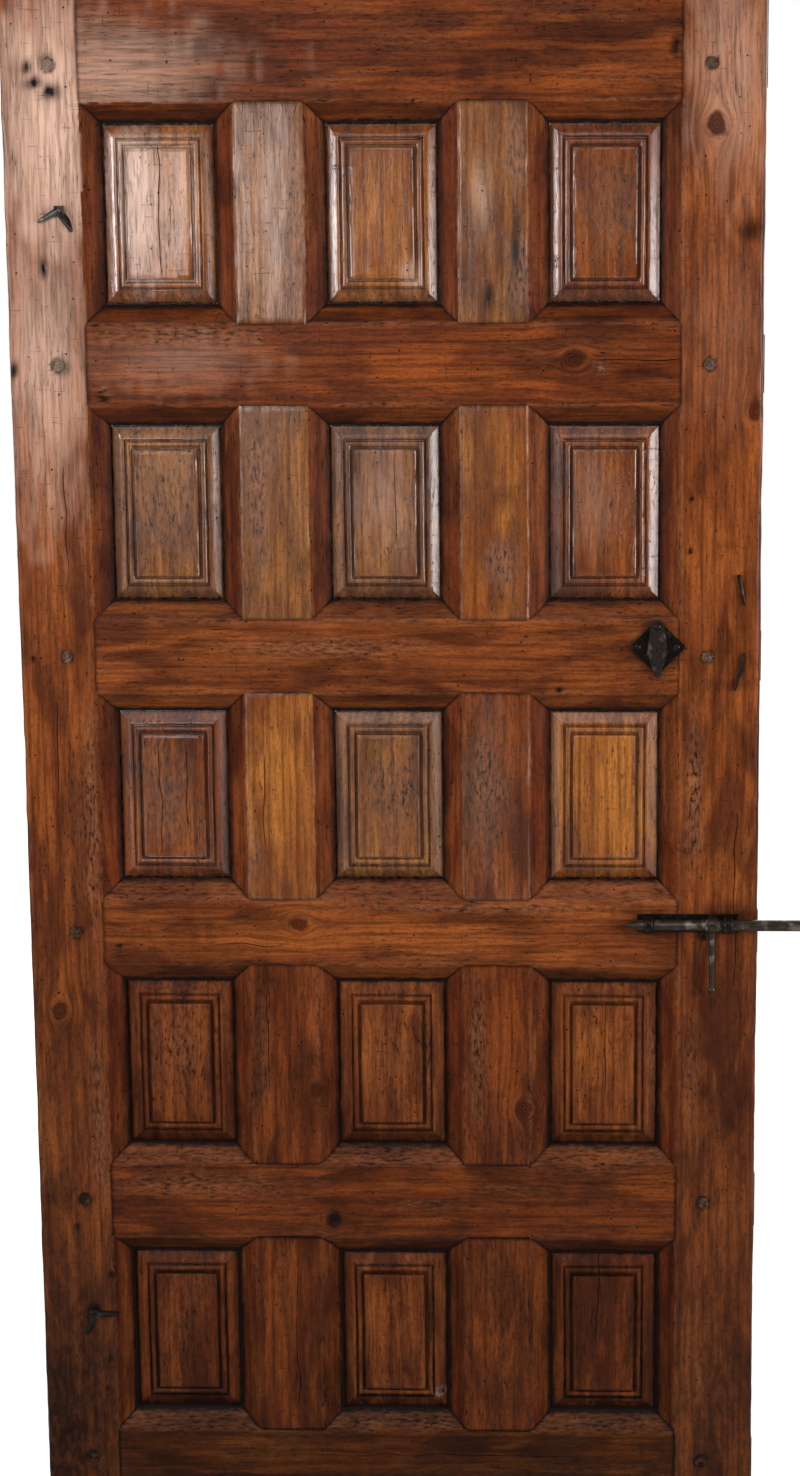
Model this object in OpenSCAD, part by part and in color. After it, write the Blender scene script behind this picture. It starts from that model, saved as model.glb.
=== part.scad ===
// Antique panelled door leaf: a pegged frame of two stiles, six rails and ten muntins holds
// fifteen raised and fielded panels, with an iron sliding bolt, a keyhole plate with its swinging
// cover, a lock on the back and two hinge eyes whose tails are clinched over on the front.
// Millimetres. +Z is up, the front faces -Y, and the origin is at the centre of the bottom edge.

/* [Leaf] */
// Width of the leaf across both stiles
leaf_w = 900; // [840:5:1000]
// Thickness of stiles, rails and muntins
leaf_t = 45; // [42:1:52]
// Face width of the left (hanging) stile
left_stile_w = 93; // [88:1:105]
// Face width of the right (closing) stile
right_stile_w = 99; // [92:1:110]
// Face width of each muntin between two panels
muntin_w = 83; // [70:1:95]
// Height of each panel opening on the face
opening_h = 257; // [230:1:290]

/* [Rails] */
// Height of the top rail
top_rail_h = 131; // [110:0.5:160]
// Height of the second rail
rail_2_h = 96.5; // [85:0.5:115]
// Height of the third rail, which carries the keyhole
rail_3_h = 89.5; // [84:0.5:110]
// Height of the fourth rail, which carries the bolt
rail_4_h = 82.5; // [78:0.5:100]
// Height of the fifth rail
rail_5_h = 95.5; // [85:0.5:115]
// Height of the bottom rail
bottom_rail_h = 160; // [130:1:200]

/* [Chamfers and grooves] */
// Width of the chamfer round each opening, seen from the front
chamfer_w = 23.5; // [18:0.5:28]
// Depth of the chamfer
chamfer_d = 17; // [12:0.5:18]
// Wood left between the chamfer and the panel groove
groove_lip = 3; // [2:0.5:5]
// Width of the panel groove
groove_t = 10.6; // [9:0.2:12]
// Depth of the panel groove
groove_depth = 10; // [7:0.5:12]

/* [Joinery] */
// Thickness of all tenons
tenon_t = 14; // [11:0.5:16]
// Shoulder above and below each rail tenon
tenon_shoulder = 14; // [10:1:20]
// Length of the stub tenons on the muntins
stub_len = 24; // [15:1:28]
// Shoulder beside each stub tenon
stub_shoulder = 16; // [10:1:24]
// Diameter of the joint pegs
peg_d = 15; // [9:0.5:18]
// Distance of the pegs from the rail shoulder
peg_inset = 34; // [25:1:45]
// Height of the top pegs above the lower edge of the top rail
top_peg_up = 42; // [30:1:55]
// Depth of the bottom pegs below the upper edge of the bottom rail
bottom_peg_down = 39; // [30:1:60]

/* [Panels] */
// Flat margin at the visible edge of a panel
margin_w = 1; // [0.5:0.25:3]
// Width of the rising bevel
bevel_w = 15.5; // [12:0.5:18]
// Rise of the bevel
bevel_rise = 8.8; // [6:0.2:10]
// Width of the two quirks beside the bead
quirk_w = 2.6; // [1.5:0.1:4]
// Depth of the quirks below the crest of the bevel
quirk_d = 2.2; // [1:0.1:3]
// Width of the round bead between the quirks
bead_w = 7; // [5:0.5:9]
// Half width of the flat on the bead's crown
bead_flat = 0.3; // [0.2:0.05:0.6]
// Width of the flat on the bevel's crest
crest_flat = 0.4; // [0.2:0.1:1]
// Height of the flat field above the crest of the bevel
field_rise = 3.2; // [1:0.2:5]

/* [Bolt] */
// Diameter of the bolt bar
bar_d = 14; // [11:0.5:16]
// Height of the bar's axis above the middle of the fourth rail
bolt_up = 14; // [5:1:18]
// Reach of the bar past the edge of the leaf when it is shot
bar_out = 58; // [40:1:70]
// Distance of the bar's tip from the edge of the leaf
bar_in = 163; // [155:1:190]
// Length of the bar's tapered tip
bar_tip_l = 18; // [10:1:24]
// Distance of the outer staple from the edge of the leaf
outer_staple_in = 38; // [32:1:44]
// Distance of the inner staple from the edge of the leaf
inner_staple_in = 135; // [125:1:140]
// Length of each staple along the bar
staple_w = 12; // [9:0.5:14]
// Thickness of the staple's ring
staple_t = 2.8; // [2:0.2:3.4]
// Distance of the handle from the edge of the leaf
handle_in = 57; // [56:1:62]
// Length of the handle from the bar's axis to its ball
handle_l = 81; // [60:1:100]
// Length of the bolt's backplate
bolt_plate_l = 124; // [115:1:135]
// Height of the bolt's backplate
bolt_plate_h = 23; // [20:0.5:28]
// Thickness of the iron plates
plate_t = 2.5; // [1.5:0.25:4]

/* [Keyhole] */
// Distance of the keyhole from the edge of the leaf
keyhole_in = 125.5; // [120:0.5:132]
// Height of the keyhole plate above the middle of the third rail
keyhole_up = 12.5; // [8:0.5:16]
// Width of the keyhole plate
escutcheon_w = 70; // [60:1:80]
// Height of the keyhole plate
escutcheon_h = 68; // [60:1:80]
// Diameter of the keyhole's round part
keyhole_d = 11; // [9:0.5:13]
// Width of the keyhole's slot
keyhole_slot_w = 7; // [6:0.25:8]
// Length of the keyhole's slot below the round part
keyhole_slot_l = 20; // [16:1:22]
// Length of the keyhole cover from its rivet to its tip
cover_l = 62; // [52:1:66]
// Widest part of the keyhole cover
cover_w = 24; // [20:1:28]

/* [Lock] */
// Width of the lock plate on the back
lock_w = 148; // [146:1:160]
// Height of the lock plate on the back
lock_h = 134; // [130:1:145]
// Depth of the lock case
lock_depth = 24; // [20:1:30]
// Height of the lock bolt
lock_bolt_h = 26; // [20:1:30]
// Thickness of the lock bolt
lock_bolt_t = 11; // [8:0.5:14]
// Travel of the lock bolt
lock_throw = 36; // [20:1:36]

/* [Hinge eyes] */
// Distance of the upper hinge eye below the top of the leaf
upper_eye_down = 256; // [220:1:280]
// Height of the lower hinge eye
lower_eye_z = 315; // [260:1:360]
// Radius of the hole in each hinge eye
eye_r = 6; // [5:0.25:7]
// Distance of the eye's axis behind the back of the leaf
eye_back = 12; // [11:0.5:15]
// Width of the hinge strap
strap_w = 12; // [10:0.5:16]
// Thickness of the hinge strap
strap_t = 3; // [2.5:0.25:3.5]
// Distance of the clinched tails from the edge of the leaf
tail_in = 65; // [60:1:72]

/* [Hidden] */
$fn = 48;

// Counts and names of the rows and columns
row_count = 5;
col_count = 3;
col_names = ["left", "middle", "right"];
muntin_names = ["left", "right"];

// Clearances and the overrun of every cut
joint_fit = 0.2;
panel_fit = 0.3;
tongue_room = 0.8;
peg_fit = 0.1;
run_fit = 0.3;
over = 2;

// Leaf: planes, opening sizes and the places of rails, rows and columns
front_y = -leaf_t / 2;
back_y = leaf_t / 2;
left_x = -leaf_w / 2;
right_x = leaf_w / 2;
inner_left = left_x + left_stile_w;
inner_right = right_x - right_stile_w;
inner_w = inner_right - inner_left;
opening_w = (inner_w - (col_count - 1) * muntin_w) / col_count;
rail_hs = [top_rail_h, rail_2_h, rail_3_h, rail_4_h, rail_5_h, bottom_rail_h];
function sum_from(v, i) = i >= len(v) ? 0 : v[i] + sum_from(v, i + 1);
function rail_z(i) = sum_from(rail_hs, i + 1) + (row_count - i) * opening_h;
function rail_mid(i) = rail_z(i) + rail_hs[i] / 2;
function row_z(r) = rail_z(r + 1) + rail_hs[r + 1];
function col_x(c) = inner_left + c * (opening_w + muntin_w);
leaf_h = rail_z(0) + top_rail_h;
upper_eye_z = leaf_h - upper_eye_down;
strip_lap = chamfer_w / 2;
groove_front = front_y + chamfer_d + groove_lip;
groove_back = groove_front + groove_t;
stub_w = muntin_w - 2 * stub_shoulder;

// Pegs: one through each joint of a rail and a stile
function peg_z(i) = i == 0 ? rail_z(0) + top_peg_up
                  : i == row_count ? rail_z(row_count) + bottom_rail_h - bottom_peg_down
                  : rail_mid(i);
peg_xs = [inner_left - peg_inset, inner_right + peg_inset];

// Panel: outer size with its tongue, and the heights of its front profile above its back
panel_w = opening_w - 2 * chamfer_w + 2 * (groove_depth - tongue_room);
panel_h = opening_h - 2 * chamfer_w + 2 * (groove_depth - tongue_room);
tongue_t = groove_t - 2 * panel_fit;
tongue_l = groove_depth - tongue_room;
crest_h = tongue_t + bevel_rise;
quirk_h = crest_h - quirk_d;
field_h = crest_h + field_rise;
bevel_u = tongue_l + margin_w;
crest_u = bevel_u + bevel_w;
bead_u = crest_u + quirk_w;
field_u = bead_u + bead_w + quirk_w;
bead_half = bead_w / 2 - bead_flat;
bead_steps = 3;

// Bolt: the bar's axis and the places along it
bolt_z = rail_mid(3) + bolt_up;
ring_r = bar_d / 2 + run_fit + staple_t;
bolt_y = front_y - plate_t - ring_r - run_fit;
inner_staple_x = right_x - inner_staple_in;
outer_staple_x = right_x - outer_staple_in;
bolt_plate_x = (inner_staple_x + outer_staple_x) / 2;
handle_x = right_x - handle_in;
bar_x0 = right_x - bar_in;
bar_x1 = right_x + bar_out;
tip_r = 2.2;
bar_edge = 1.2;
collar_w = 10;
collar_r = ring_r;
shoulder_w = 3;
shoulder_rise = 2;
shoulder_r = bar_d / 2 + shoulder_rise;
handle_top_r = 4.4;
handle_low_r = 3;
handle_ball_r = 5;
staple_foot_h = 13;
staple_leg_t = 4;
staple_leg_l = 28;
staple_leg_w = 7;
bead_r = 1.8;

// Keyhole plate, its cover and their fixings
keyhole_x = right_x - keyhole_in;
escutcheon_z = rail_mid(2) + keyhole_up;
plate_front = front_y - plate_t;
tip_round_share = 0.95;
rivet_drop = 9;
rivet_z = escutcheon_z + escutcheon_h / 2 - rivet_drop;
rivet_r = 2.2;
rivet_head_r = 4.6;
rivet_head_h = 2.2;
rivet_l = 16;
keyhole_drop = 3;
keyhole_z = escutcheon_z - keyhole_drop;
cover_t = 2.6;
cover_head_r = 8.5;
cover_tip_r = 4.2;
cover_belly_share = 0.5;
cover_gap = 1.6;
cover_front = plate_front - cover_gap - cover_t;
esc_nail_r = 1.5;
esc_nail_head_r = 3.4;
esc_nail_head_h = 1.2;
esc_nail_l = 15;
esc_nail_out = 23.5;

// Lock: plate, case and bolt on the back
lock_inset = 2;
lock_below = 32;
lock_x1 = right_x - lock_inset;
lock_x0 = lock_x1 - lock_w;
lock_z0 = keyhole_z - lock_below;
lock_corner = 8;
case_wall = 2.2;
case_margin = 4;
case_side_room = 34;
case_x0 = lock_x0 + case_margin;
case_x1 = lock_x1 - case_side_room;
case_z0 = lock_z0 + case_margin;
case_h = lock_h - 2 * case_margin;
lock_back = back_y + plate_t;
lock_bolt_up = 18;
lock_bolt_z = keyhole_z + lock_bolt_up;
lock_bolt_y = lock_back + run_fit;
lock_tail_share = 0.6;
lock_tail_h = lock_bolt_h * lock_tail_share;
stump_r = 3;
stump_in = 55;
stump_x = case_x0 + stump_in;
tail_slot_w = 2 * stump_r + 2 * run_fit;
tail_slot_x = stump_x - lock_throw - stump_r - run_fit;
lock_tail_end = 10;

// Lock nails: places from the edge, turn of the clinched points and their lengths
nail_r = 2.4;
nail_head_r = 6;
nail_head_h = 2.5;
upper_nail_in = 28;
lower_nail_in = 21;
upper_nail_up = 88;
lower_nail_down = 7;
upper_nail_point = 35;
lower_nail_point = 44;
nail_xs = [right_x - upper_nail_in, right_x - lower_nail_in];
nail_zs = [keyhole_z + upper_nail_up, keyhole_z - lower_nail_down];
nail_points = [upper_nail_point, lower_nail_point];
nail_turns = [-78, -104];
nail_tip_r = 1.4;
knuckle_r = 2.8;

// Hinge eyes: the eye lies behind the back edge and its shank crosses the stile at a slant
eye_y = back_y + eye_back;
shank_turn = -45;
tail_x = left_x + tail_in;
eye_x = tail_x - (leaf_t + eye_back);
tail_t = 3.4;
crown_rise = 0.8;
tail_root_w = 7.5;
tail_tip_w = 4;
upper_left_tail_l = 26;
upper_right_tail_l = 28;
lower_right_tail_l = 33;
lower_left_tail_l = 29;
upper_tail_ls = [upper_left_tail_l, upper_right_tail_l];
upper_tail_turns = [208, -56];
lower_tail_ls = [lower_right_tail_l, lower_left_tail_l];
lower_tail_turns = [0, -107];
shank_fit = 0.2;

wood = "#8a4a24";
pale_wood = "#a8643a";
peg_wood = "#6d5a4b";
iron = "#2a2624";

// A strip of frame edge facing +X along an opening: chamfer, groove and mitred ends
module edge_strip(run) {
    intersection() {
        translate([0, 0, -over])
            linear_extrude(height = run + 2 * over)
                polygon([[-strip_lap, front_y],
                         [0, front_y],
                         [chamfer_w, front_y + chamfer_d],
                         [chamfer_w, groove_front],
                         [chamfer_w - groove_depth, groove_front],
                         [chamfer_w - groove_depth, groove_back],
                         [chamfer_w, groove_back],
                         [chamfer_w, back_y],
                         [-strip_lap, back_y]]);
        rotate([90, 0, 0])
            linear_extrude(height = leaf_t + 2 * over, center = true)
                polygon([[-2 * strip_lap, 0],
                         [0, 0],
                         [chamfer_w, chamfer_w],
                         [chamfer_w, run - chamfer_w],
                         [0, run],
                         [-2 * strip_lap, run]]);
    }
}

// Strips along a rail's lower edge, one for each column
module rail_strips_down(z) {
    for (c = [0 : col_count - 1])
        translate([col_x(c), 0, z])
            rotate([0, 90, 0])
                edge_strip(opening_w);
}

// Strips along a rail's upper edge, one for each column
module rail_strips_up(z) {
    for (c = [0 : col_count - 1])
        translate([col_x(c), 0, z])
            mirror([0, 0, 1])
                rotate([0, 90, 0])
                    edge_strip(opening_w);
}

// A round hole or rod along Y, centred on the leaf
module across_leaf(x, z, r, length) {
    translate([x, 0, z])
        rotate([90, 0, 0])
            cylinder(r = r, h = length, center = true);
}

// Holes for the joint pegs
module peg_holes() {
    for (x = peg_xs, i = [0 : row_count])
        across_leaf(x, peg_z(i), peg_d / 2 + peg_fit, leaf_t + 2 * over);
}

// Mortises that let all the rails' tenons through both stiles
module rail_mortises() {
    for (i = [0 : row_count])
        translate([left_x - over, -tenon_t / 2 - joint_fit, rail_z(i) + tenon_shoulder - joint_fit])
            cube([leaf_w + 2 * over,
                  tenon_t + 2 * joint_fit,
                  rail_hs[i] - 2 * tenon_shoulder + 2 * joint_fit]);
}

// One stile's plain board with its strips facing the openings
module stile_blank(x, w, edge_x, side) {
    translate([x, front_y, 0])
        cube([w, leaf_t, leaf_h]);
    for (r = [0 : row_count - 1])
        translate([edge_x, 0, row_z(r)])
            mirror([side, 0, 0])
                edge_strip(opening_h);
}

module left_stile() {
    color(wood)
        difference() {
            stile_blank(left_x, left_stile_w, inner_left, 0);
            rail_mortises();
            peg_holes();
            hinge_shank(upper_eye_z, shank_fit, over);
            hinge_shank(lower_eye_z, shank_fit, over);
        }
}

module right_stile() {
    color(wood)
        difference() {
            stile_blank(inner_right, right_stile_w, inner_right, 1);
            rail_mortises();
            peg_holes();
            staple_legs(outer_staple_x, joint_fit);
            nail_shanks(nail_r + joint_fit);
        }
}

// Mortises for the muntins' stub tenons in a rail's edge at height z, reaching up or down
module stub_mortises(z, reach) {
    for (m = [1 : col_count - 1])
        translate([col_x(m) - muntin_w + stub_shoulder - joint_fit,
                   -tenon_t / 2 - joint_fit,
                   z + (reach < 0 ? reach : -over)])
            cube([stub_w + 2 * joint_fit, tenon_t + 2 * joint_fit, abs(reach) + over]);
}

// Rail i, counted from the top, with its through tenon
module rail(i) {
    z = rail_z(i);
    h = rail_hs[i];
    color(wood)
        difference() {
            union() {
                translate([inner_left, front_y, z])
                    cube([inner_w, leaf_t, h]);
                translate([left_x, -tenon_t / 2, z + tenon_shoulder])
                    cube([leaf_w, tenon_t, h - 2 * tenon_shoulder]);
                if (i > 0)
                    rail_strips_up(z + h);
                if (i < row_count)
                    rail_strips_down(z);
            }
            if (i > 0)
                stub_mortises(z + h, -stub_len - joint_fit);
            if (i < row_count)
                stub_mortises(z, stub_len + joint_fit);
            peg_holes();
            if (i == 2) {
                keyhole(leaf_t + 2 * over, 0);
                rivet_shank(rivet_r + joint_fit);
                escutcheon_nail_shanks(esc_nail_r + joint_fit);
                nail_shanks(nail_r + joint_fit);
            }
            if (i == 3) {
                staple_legs(inner_staple_x, joint_fit);
                staple_legs(outer_staple_x, joint_fit);
            }
        }
}

// Muntin m of row r, with a stub tenon at each end
module muntin(r, m) {
    x = col_x(m) + opening_w;
    z = row_z(r);
    color(pale_wood)
        union() {
            translate([x, front_y, z])
                cube([muntin_w, leaf_t, opening_h]);
            translate([x + stub_shoulder, -tenon_t / 2, z - stub_len])
                cube([stub_w, tenon_t, opening_h + 2 * stub_len]);
            translate([x + muntin_w, 0, z])
                edge_strip(opening_h);
            translate([x, 0, z])
                mirror([1, 0, 0])
                    edge_strip(opening_h);
        }
}

// Left half of the bevel's cross-section, from the tongue to the crest
bevel_half = [[bevel_u, tongue_t / 2], [bevel_u, tongue_t], [crest_u, crest_h]];

// Outer half of the bead, carried on above its crown
bead_rise = concat(
    [[bead_u, quirk_h - quirk_d]],
    [for (k = [0 : bead_steps])
        [bead_u + bead_half * k / bead_steps,
         quirk_h + quirk_d * sin(90 * k / bead_steps)]],
    [[bead_u + bead_w / 2, crest_h + over]]);

// Inner half of the bead, filled up outwards to its crown
bead_fall = concat(
    [[crest_u, tongue_t], [crest_u, crest_h]],
    [for (k = [0 : bead_steps])
        [bead_u + bead_w - bead_half + bead_half * k / bead_steps,
         quirk_h + quirk_d * cos(90 * k / bead_steps)]],
    [[bead_u + bead_w, tongue_t]]);

// Outline right across a piece from its left half, with the height to the front
function both_sides(half, across) = concat(
    [for (p = half) [p[0] - across / 2, -p[1]]],
    [for (k = [len(half) - 1 : -1 : 0]) [across / 2 - half[k][0], -half[k][1]]]);

// Solid with the same rising outline both ways, so that its corners mitre
module mitred_rise(half) {
    intersection() {
        linear_extrude(height = panel_h + 2 * over, center = true)
            polygon(both_sides(half, panel_w));
        rotate([0, 90, 0])
            linear_extrude(height = panel_w + 2 * over, center = true)
                polygon(both_sides(half, panel_h));
    }
}

// Two bars with the bead's inner half, along both sides of a panel
module bead_bars(across, along) {
    for (side = [0, 1])
        mirror([side, 0, 0])
            linear_extrude(height = along, center = true)
                polygon([for (p = bead_fall) [p[0] - across / 2, -p[1]]]);
}

// Block of a panel set in all round, between two heights
module panel_block(inset, low, high) {
    translate([inset - panel_w / 2, -high, inset - panel_h / 2])
        cube([panel_w - 2 * inset, high - low, panel_h - 2 * inset]);
}

// Panel of row r and column c: tongued board, bevelled border with its well, bead and raised field
module panel(r, c) {
    color(wood)
        translate([col_x(c) + opening_w / 2, groove_back - panel_fit, row_z(r) + opening_h / 2])
            union() {
                panel_block(0, 0, tongue_t);
                difference() {
                    mitred_rise(bevel_half);
                    panel_block(crest_u + crest_flat, quirk_h, crest_h + over);
                }
                intersection() {
                    mitred_rise(bead_rise);
                    union() {
                        bead_bars(panel_w, panel_h);
                        rotate([0, 90, 0])
                            bead_bars(panel_h, panel_w);
                    }
                }
                panel_block(field_u, tongue_t / 2, field_h);
            }
}

module joint_pegs() {
    color(peg_wood)
        for (x = peg_xs, i = [0 : row_count])
            across_leaf(x, peg_z(i), peg_d / 2, leaf_t);
}

// The doubled strap that crosses the stile at a slant, grown by a fit and run past the front
module hinge_shank(z, fit, past) {
    intersection() {
        translate([eye_x, eye_y, z])
            rotate([0, 0, shank_turn])
                translate([eye_r + strap_t / 2, -strap_t - fit, -strap_w / 2 - fit])
                    cube([2 * (leaf_t + eye_back), 2 * (strap_t + fit), strap_w + 2 * fit]);
        translate([left_x - leaf_t, front_y - tail_t - past, z - strap_w])
            cube([leaf_w / 2, leaf_t + eye_back + tail_t + past, 2 * strap_w]);
    }
}

// One clinched tail lying on the front of the stile
module clinched_tail(z, turn, length) {
    translate([tail_x, front_y, z])
        rotate([90, -turn, 0])
            linear_extrude(height = tail_t)
                polygon([[0, -tail_root_w / 2],
                         [length, -tail_tip_w / 2],
                         [length, tail_tip_w / 2],
                         [0, tail_root_w / 2]]);
}

// A hinge eye: rolled strap, slanting shank and two clinched tails
module hinge_eye(z, tail_ls, tail_turns) {
    color(iron)
        difference() {
            union() {
                translate([eye_x, eye_y, z])
                    cylinder(r = eye_r + strap_t, h = strap_w, center = true);
                hinge_shank(z, 0, crown_rise);
                for (k = [0 : len(tail_ls) - 1])
                    clinched_tail(z, tail_turns[k], tail_ls[k]);
            }
            translate([eye_x, eye_y, z])
                cylinder(r = eye_r, h = strap_w + 2 * over, center = true);
        }
}

// Keyhole: a round hole with a slot below it, cut along Y
module keyhole(length, y) {
    translate([keyhole_x, y, keyhole_z])
        rotate([90, 0, 0])
            linear_extrude(height = length, center = true) {
                circle(d = keyhole_d);
                translate([-keyhole_slot_w / 2, -keyhole_slot_l])
                    square([keyhole_slot_w, keyhole_slot_l]);
            }
}

// Shanks of the two nails that hold the keyhole plate
module escutcheon_nail_shanks(r) {
    for (side = [-1, 1])
        translate([keyhole_x + side * esc_nail_out, plate_front, escutcheon_z])
            rotate([-90, 0, 0])
                cylinder(r = r, h = esc_nail_l);
}

// Shank of the rivet that the keyhole cover hangs from
module rivet_shank(r) {
    translate([keyhole_x, cover_front - run_fit, rivet_z])
        rotate([-90, 0, 0])
            cylinder(r = r, h = rivet_l);
}

// A domed head of radius r and height h, facing -Y, with its flat at y = 0
module domed_head(r, h) {
    ball_r = (r * r + h * h) / (2 * h);
    intersection() {
        translate([0, ball_r - h, 0])
            sphere(r = ball_r);
        rotate([90, 0, 0])
            cylinder(r = 2 * r, h = 2 * h);
    }
}

module escutcheon_plate() {
    color(iron)
        difference() {
            translate([keyhole_x, front_y, escutcheon_z])
                rotate([90, 0, 0])
                    linear_extrude(height = plate_t)
                        intersection() {
                            polygon([[-escutcheon_w / 2, 0],
                                     [0, -escutcheon_h / 2],
                                     [escutcheon_w / 2, 0],
                                     [0, escutcheon_h / 2]]);
                            square([escutcheon_w, escutcheon_h] * tip_round_share, center = true);
                        }
            keyhole(2 * leaf_t, 0);
            rivet_shank(rivet_r + joint_fit);
            escutcheon_nail_shanks(esc_nail_r + joint_fit);
        }
}

module escutcheon_nails() {
    color(iron) {
        escutcheon_nail_shanks(esc_nail_r);
        for (side = [-1, 1])
            translate([keyhole_x + side * esc_nail_out, plate_front, escutcheon_z])
                domed_head(esc_nail_head_r, esc_nail_head_h);
    }
}

// Outline of the keyhole cover, hanging from its rivet at the origin
module cover_outline() {
    belly_y = -cover_l * cover_belly_share;
    tip_y = -cover_l + cover_tip_r;
    circle(r = cover_head_r);
    translate([0, belly_y])
        circle(d = cover_w);
    translate([0, tip_y])
        circle(r = cover_tip_r);
    polygon([[-cover_head_r, 0],
             [-cover_w / 2, belly_y],
             [-cover_tip_r, tip_y],
             [cover_tip_r, tip_y],
             [cover_w / 2, belly_y],
             [cover_head_r, 0]]);
}

module keyhole_cover() {
    color(iron)
        translate([keyhole_x, plate_front - cover_gap, rivet_z])
            rotate([90, 0, 0])
                linear_extrude(height = cover_t)
                    difference() {
                        cover_outline();
                        circle(r = rivet_r + run_fit);
                    }
}

module cover_rivet() {
    color(iron) {
        rivet_shank(rivet_r);
        translate([keyhole_x, cover_front - run_fit, rivet_z])
            domed_head(rivet_head_r, rivet_head_h);
    }
}

// The two legs of a staple at place x, grown by a fit
module staple_legs(x, fit) {
    for (side = [-1, 1])
        translate([x - staple_leg_w / 2 - fit,
                   plate_front - staple_foot_h / 2,
                   bolt_z + side * (staple_foot_h - staple_leg_t) / 2 - staple_leg_t / 2 - fit])
            cube([staple_leg_w + 2 * fit, staple_leg_l + staple_foot_h / 2 + fit, staple_leg_t + 2 * fit]);
}

module bolt_plate() {
    color(iron)
        difference() {
            translate([bolt_plate_x - bolt_plate_l / 2, plate_front, bolt_z - bolt_plate_h / 2])
                cube([bolt_plate_l, plate_t, bolt_plate_h]);
            staple_legs(inner_staple_x, joint_fit);
            staple_legs(outer_staple_x, joint_fit);
        }
}

// A staple: a ring with two beads round the bar, on a foot with two legs
module staple(x) {
    color(iron)
        difference() {
            union() {
                intersection() {
                    union() {
                        translate([x, bolt_y, bolt_z])
                            rotate([0, 90, 0])
                                beaded_ring();
                        translate([x - staple_w / 2, bolt_y, bolt_z - staple_foot_h / 2])
                            cube([staple_w, leaf_t, staple_foot_h]);
                    }
                    translate([x - staple_w, plate_front - leaf_t, bolt_z - bolt_plate_h])
                        cube([2 * staple_w, leaf_t, 2 * bolt_plate_h]);
                }
                staple_legs(x, 0);
            }
            translate([x, bolt_y, bolt_z])
                rotate([0, 90, 0])
                    cylinder(r = bar_d / 2 + run_fit, h = staple_w + 2 * over, center = true);
        }
}

// The staple's ring, along Z, with a bead near each end
module beaded_ring() {
    cylinder(r = ring_r, h = staple_w, center = true);
    for (side = [-1, 1])
        translate([0, 0, side * (staple_w / 2 - bead_r)])
            rotate_extrude()
                translate([ring_r - bead_r / 2, 0])
                    circle(r = bead_r);
}

// The bar, turned along X: a tapered tip, two shoulders beside the handle and a bevelled end
module bolt_bar() {
    shoulder_out = collar_w / 2 + run_fit;
    color(iron)
        translate([0, bolt_y, bolt_z])
            rotate([0, 90, 0]) {
                translate([0, 0, bar_x0 + tip_r])
                    sphere(r = tip_r);
                translate([0, 0, bar_x0 + tip_r])
                    cylinder(r1 = tip_r, r2 = bar_d / 2, h = bar_tip_l - tip_r);
                translate([0, 0, bar_x0 + bar_tip_l])
                    cylinder(d = bar_d, h = bar_x1 - bar_edge - bar_x0 - bar_tip_l);
                translate([0, 0, bar_x1 - bar_edge])
                    cylinder(r1 = bar_d / 2, r2 = bar_d / 2 - bar_edge, h = bar_edge);
                for (z = [handle_x - shoulder_out - shoulder_w, handle_x + shoulder_out])
                    translate([0, 0, z])
                        cylinder(r = shoulder_r, h = shoulder_w);
            }
}

// The handle: a collar that turns on the bar, a tapered rod and a ball
module bolt_handle() {
    color(iron)
        translate([handle_x, bolt_y, bolt_z])
            difference() {
                union() {
                    rotate([0, 90, 0])
                        cylinder(r = collar_r, h = collar_w, center = true);
                    translate([0, 0, -handle_l])
                        cylinder(r1 = handle_low_r, r2 = handle_top_r, h = handle_l);
                    translate([0, 0, -handle_l])
                        sphere(r = handle_ball_r);
                }
                rotate([0, 90, 0])
                    cylinder(r = bar_d / 2 + run_fit, h = collar_w + 2 * over, center = true);
            }
}

// Shanks of the lock nails, through the stile and the lock plate
module nail_shanks(r) {
    for (k = [0, 1])
        translate([nail_xs[k], front_y - nail_r, nail_zs[k]])
            rotate([-90, 0, 0])
                cylinder(r = r, h = leaf_t + nail_r + plate_t);
}

module lock_plate() {
    color(iron)
        difference() {
            translate([lock_x0, back_y + plate_t, lock_z0])
                rotate([90, 0, 0])
                    linear_extrude(height = plate_t)
                        polygon([[lock_corner, 0],
                                 [lock_w, 0],
                                 [lock_w, lock_h],
                                 [lock_corner, lock_h],
                                 [0, lock_h - lock_corner],
                                 [0, lock_corner]]);
            keyhole(leaf_t, back_y);
            nail_shanks(nail_r + joint_fit);
        }
}

// The case: a folded box open towards the plate, with a slot for the bolt and a guide stump
module lock_case() {
    inside_w = case_x1 - case_x0 - 2 * case_wall;
    color(iron)
        union() {
            difference() {
                translate([case_x0, lock_back, case_z0])
                    cube([case_x1 - case_x0, lock_depth, case_h]);
                translate([case_x0 + case_wall, lock_back - over, case_z0 + case_wall])
                    cube([inside_w, lock_depth + over - case_wall, case_h - 2 * case_wall]);
                translate([case_x1 - 2 * case_wall,
                           lock_back - over,
                           lock_bolt_z - lock_bolt_h / 2 - run_fit])
                    cube([3 * case_wall,
                          lock_bolt_t + 2 * run_fit + over,
                          lock_bolt_h + 2 * run_fit]);
            }
            translate([stump_x, lock_back, lock_bolt_z])
                rotate([-90, 0, 0])
                    cylinder(r = stump_r, h = lock_depth - case_wall / 2);
        }
}

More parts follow.
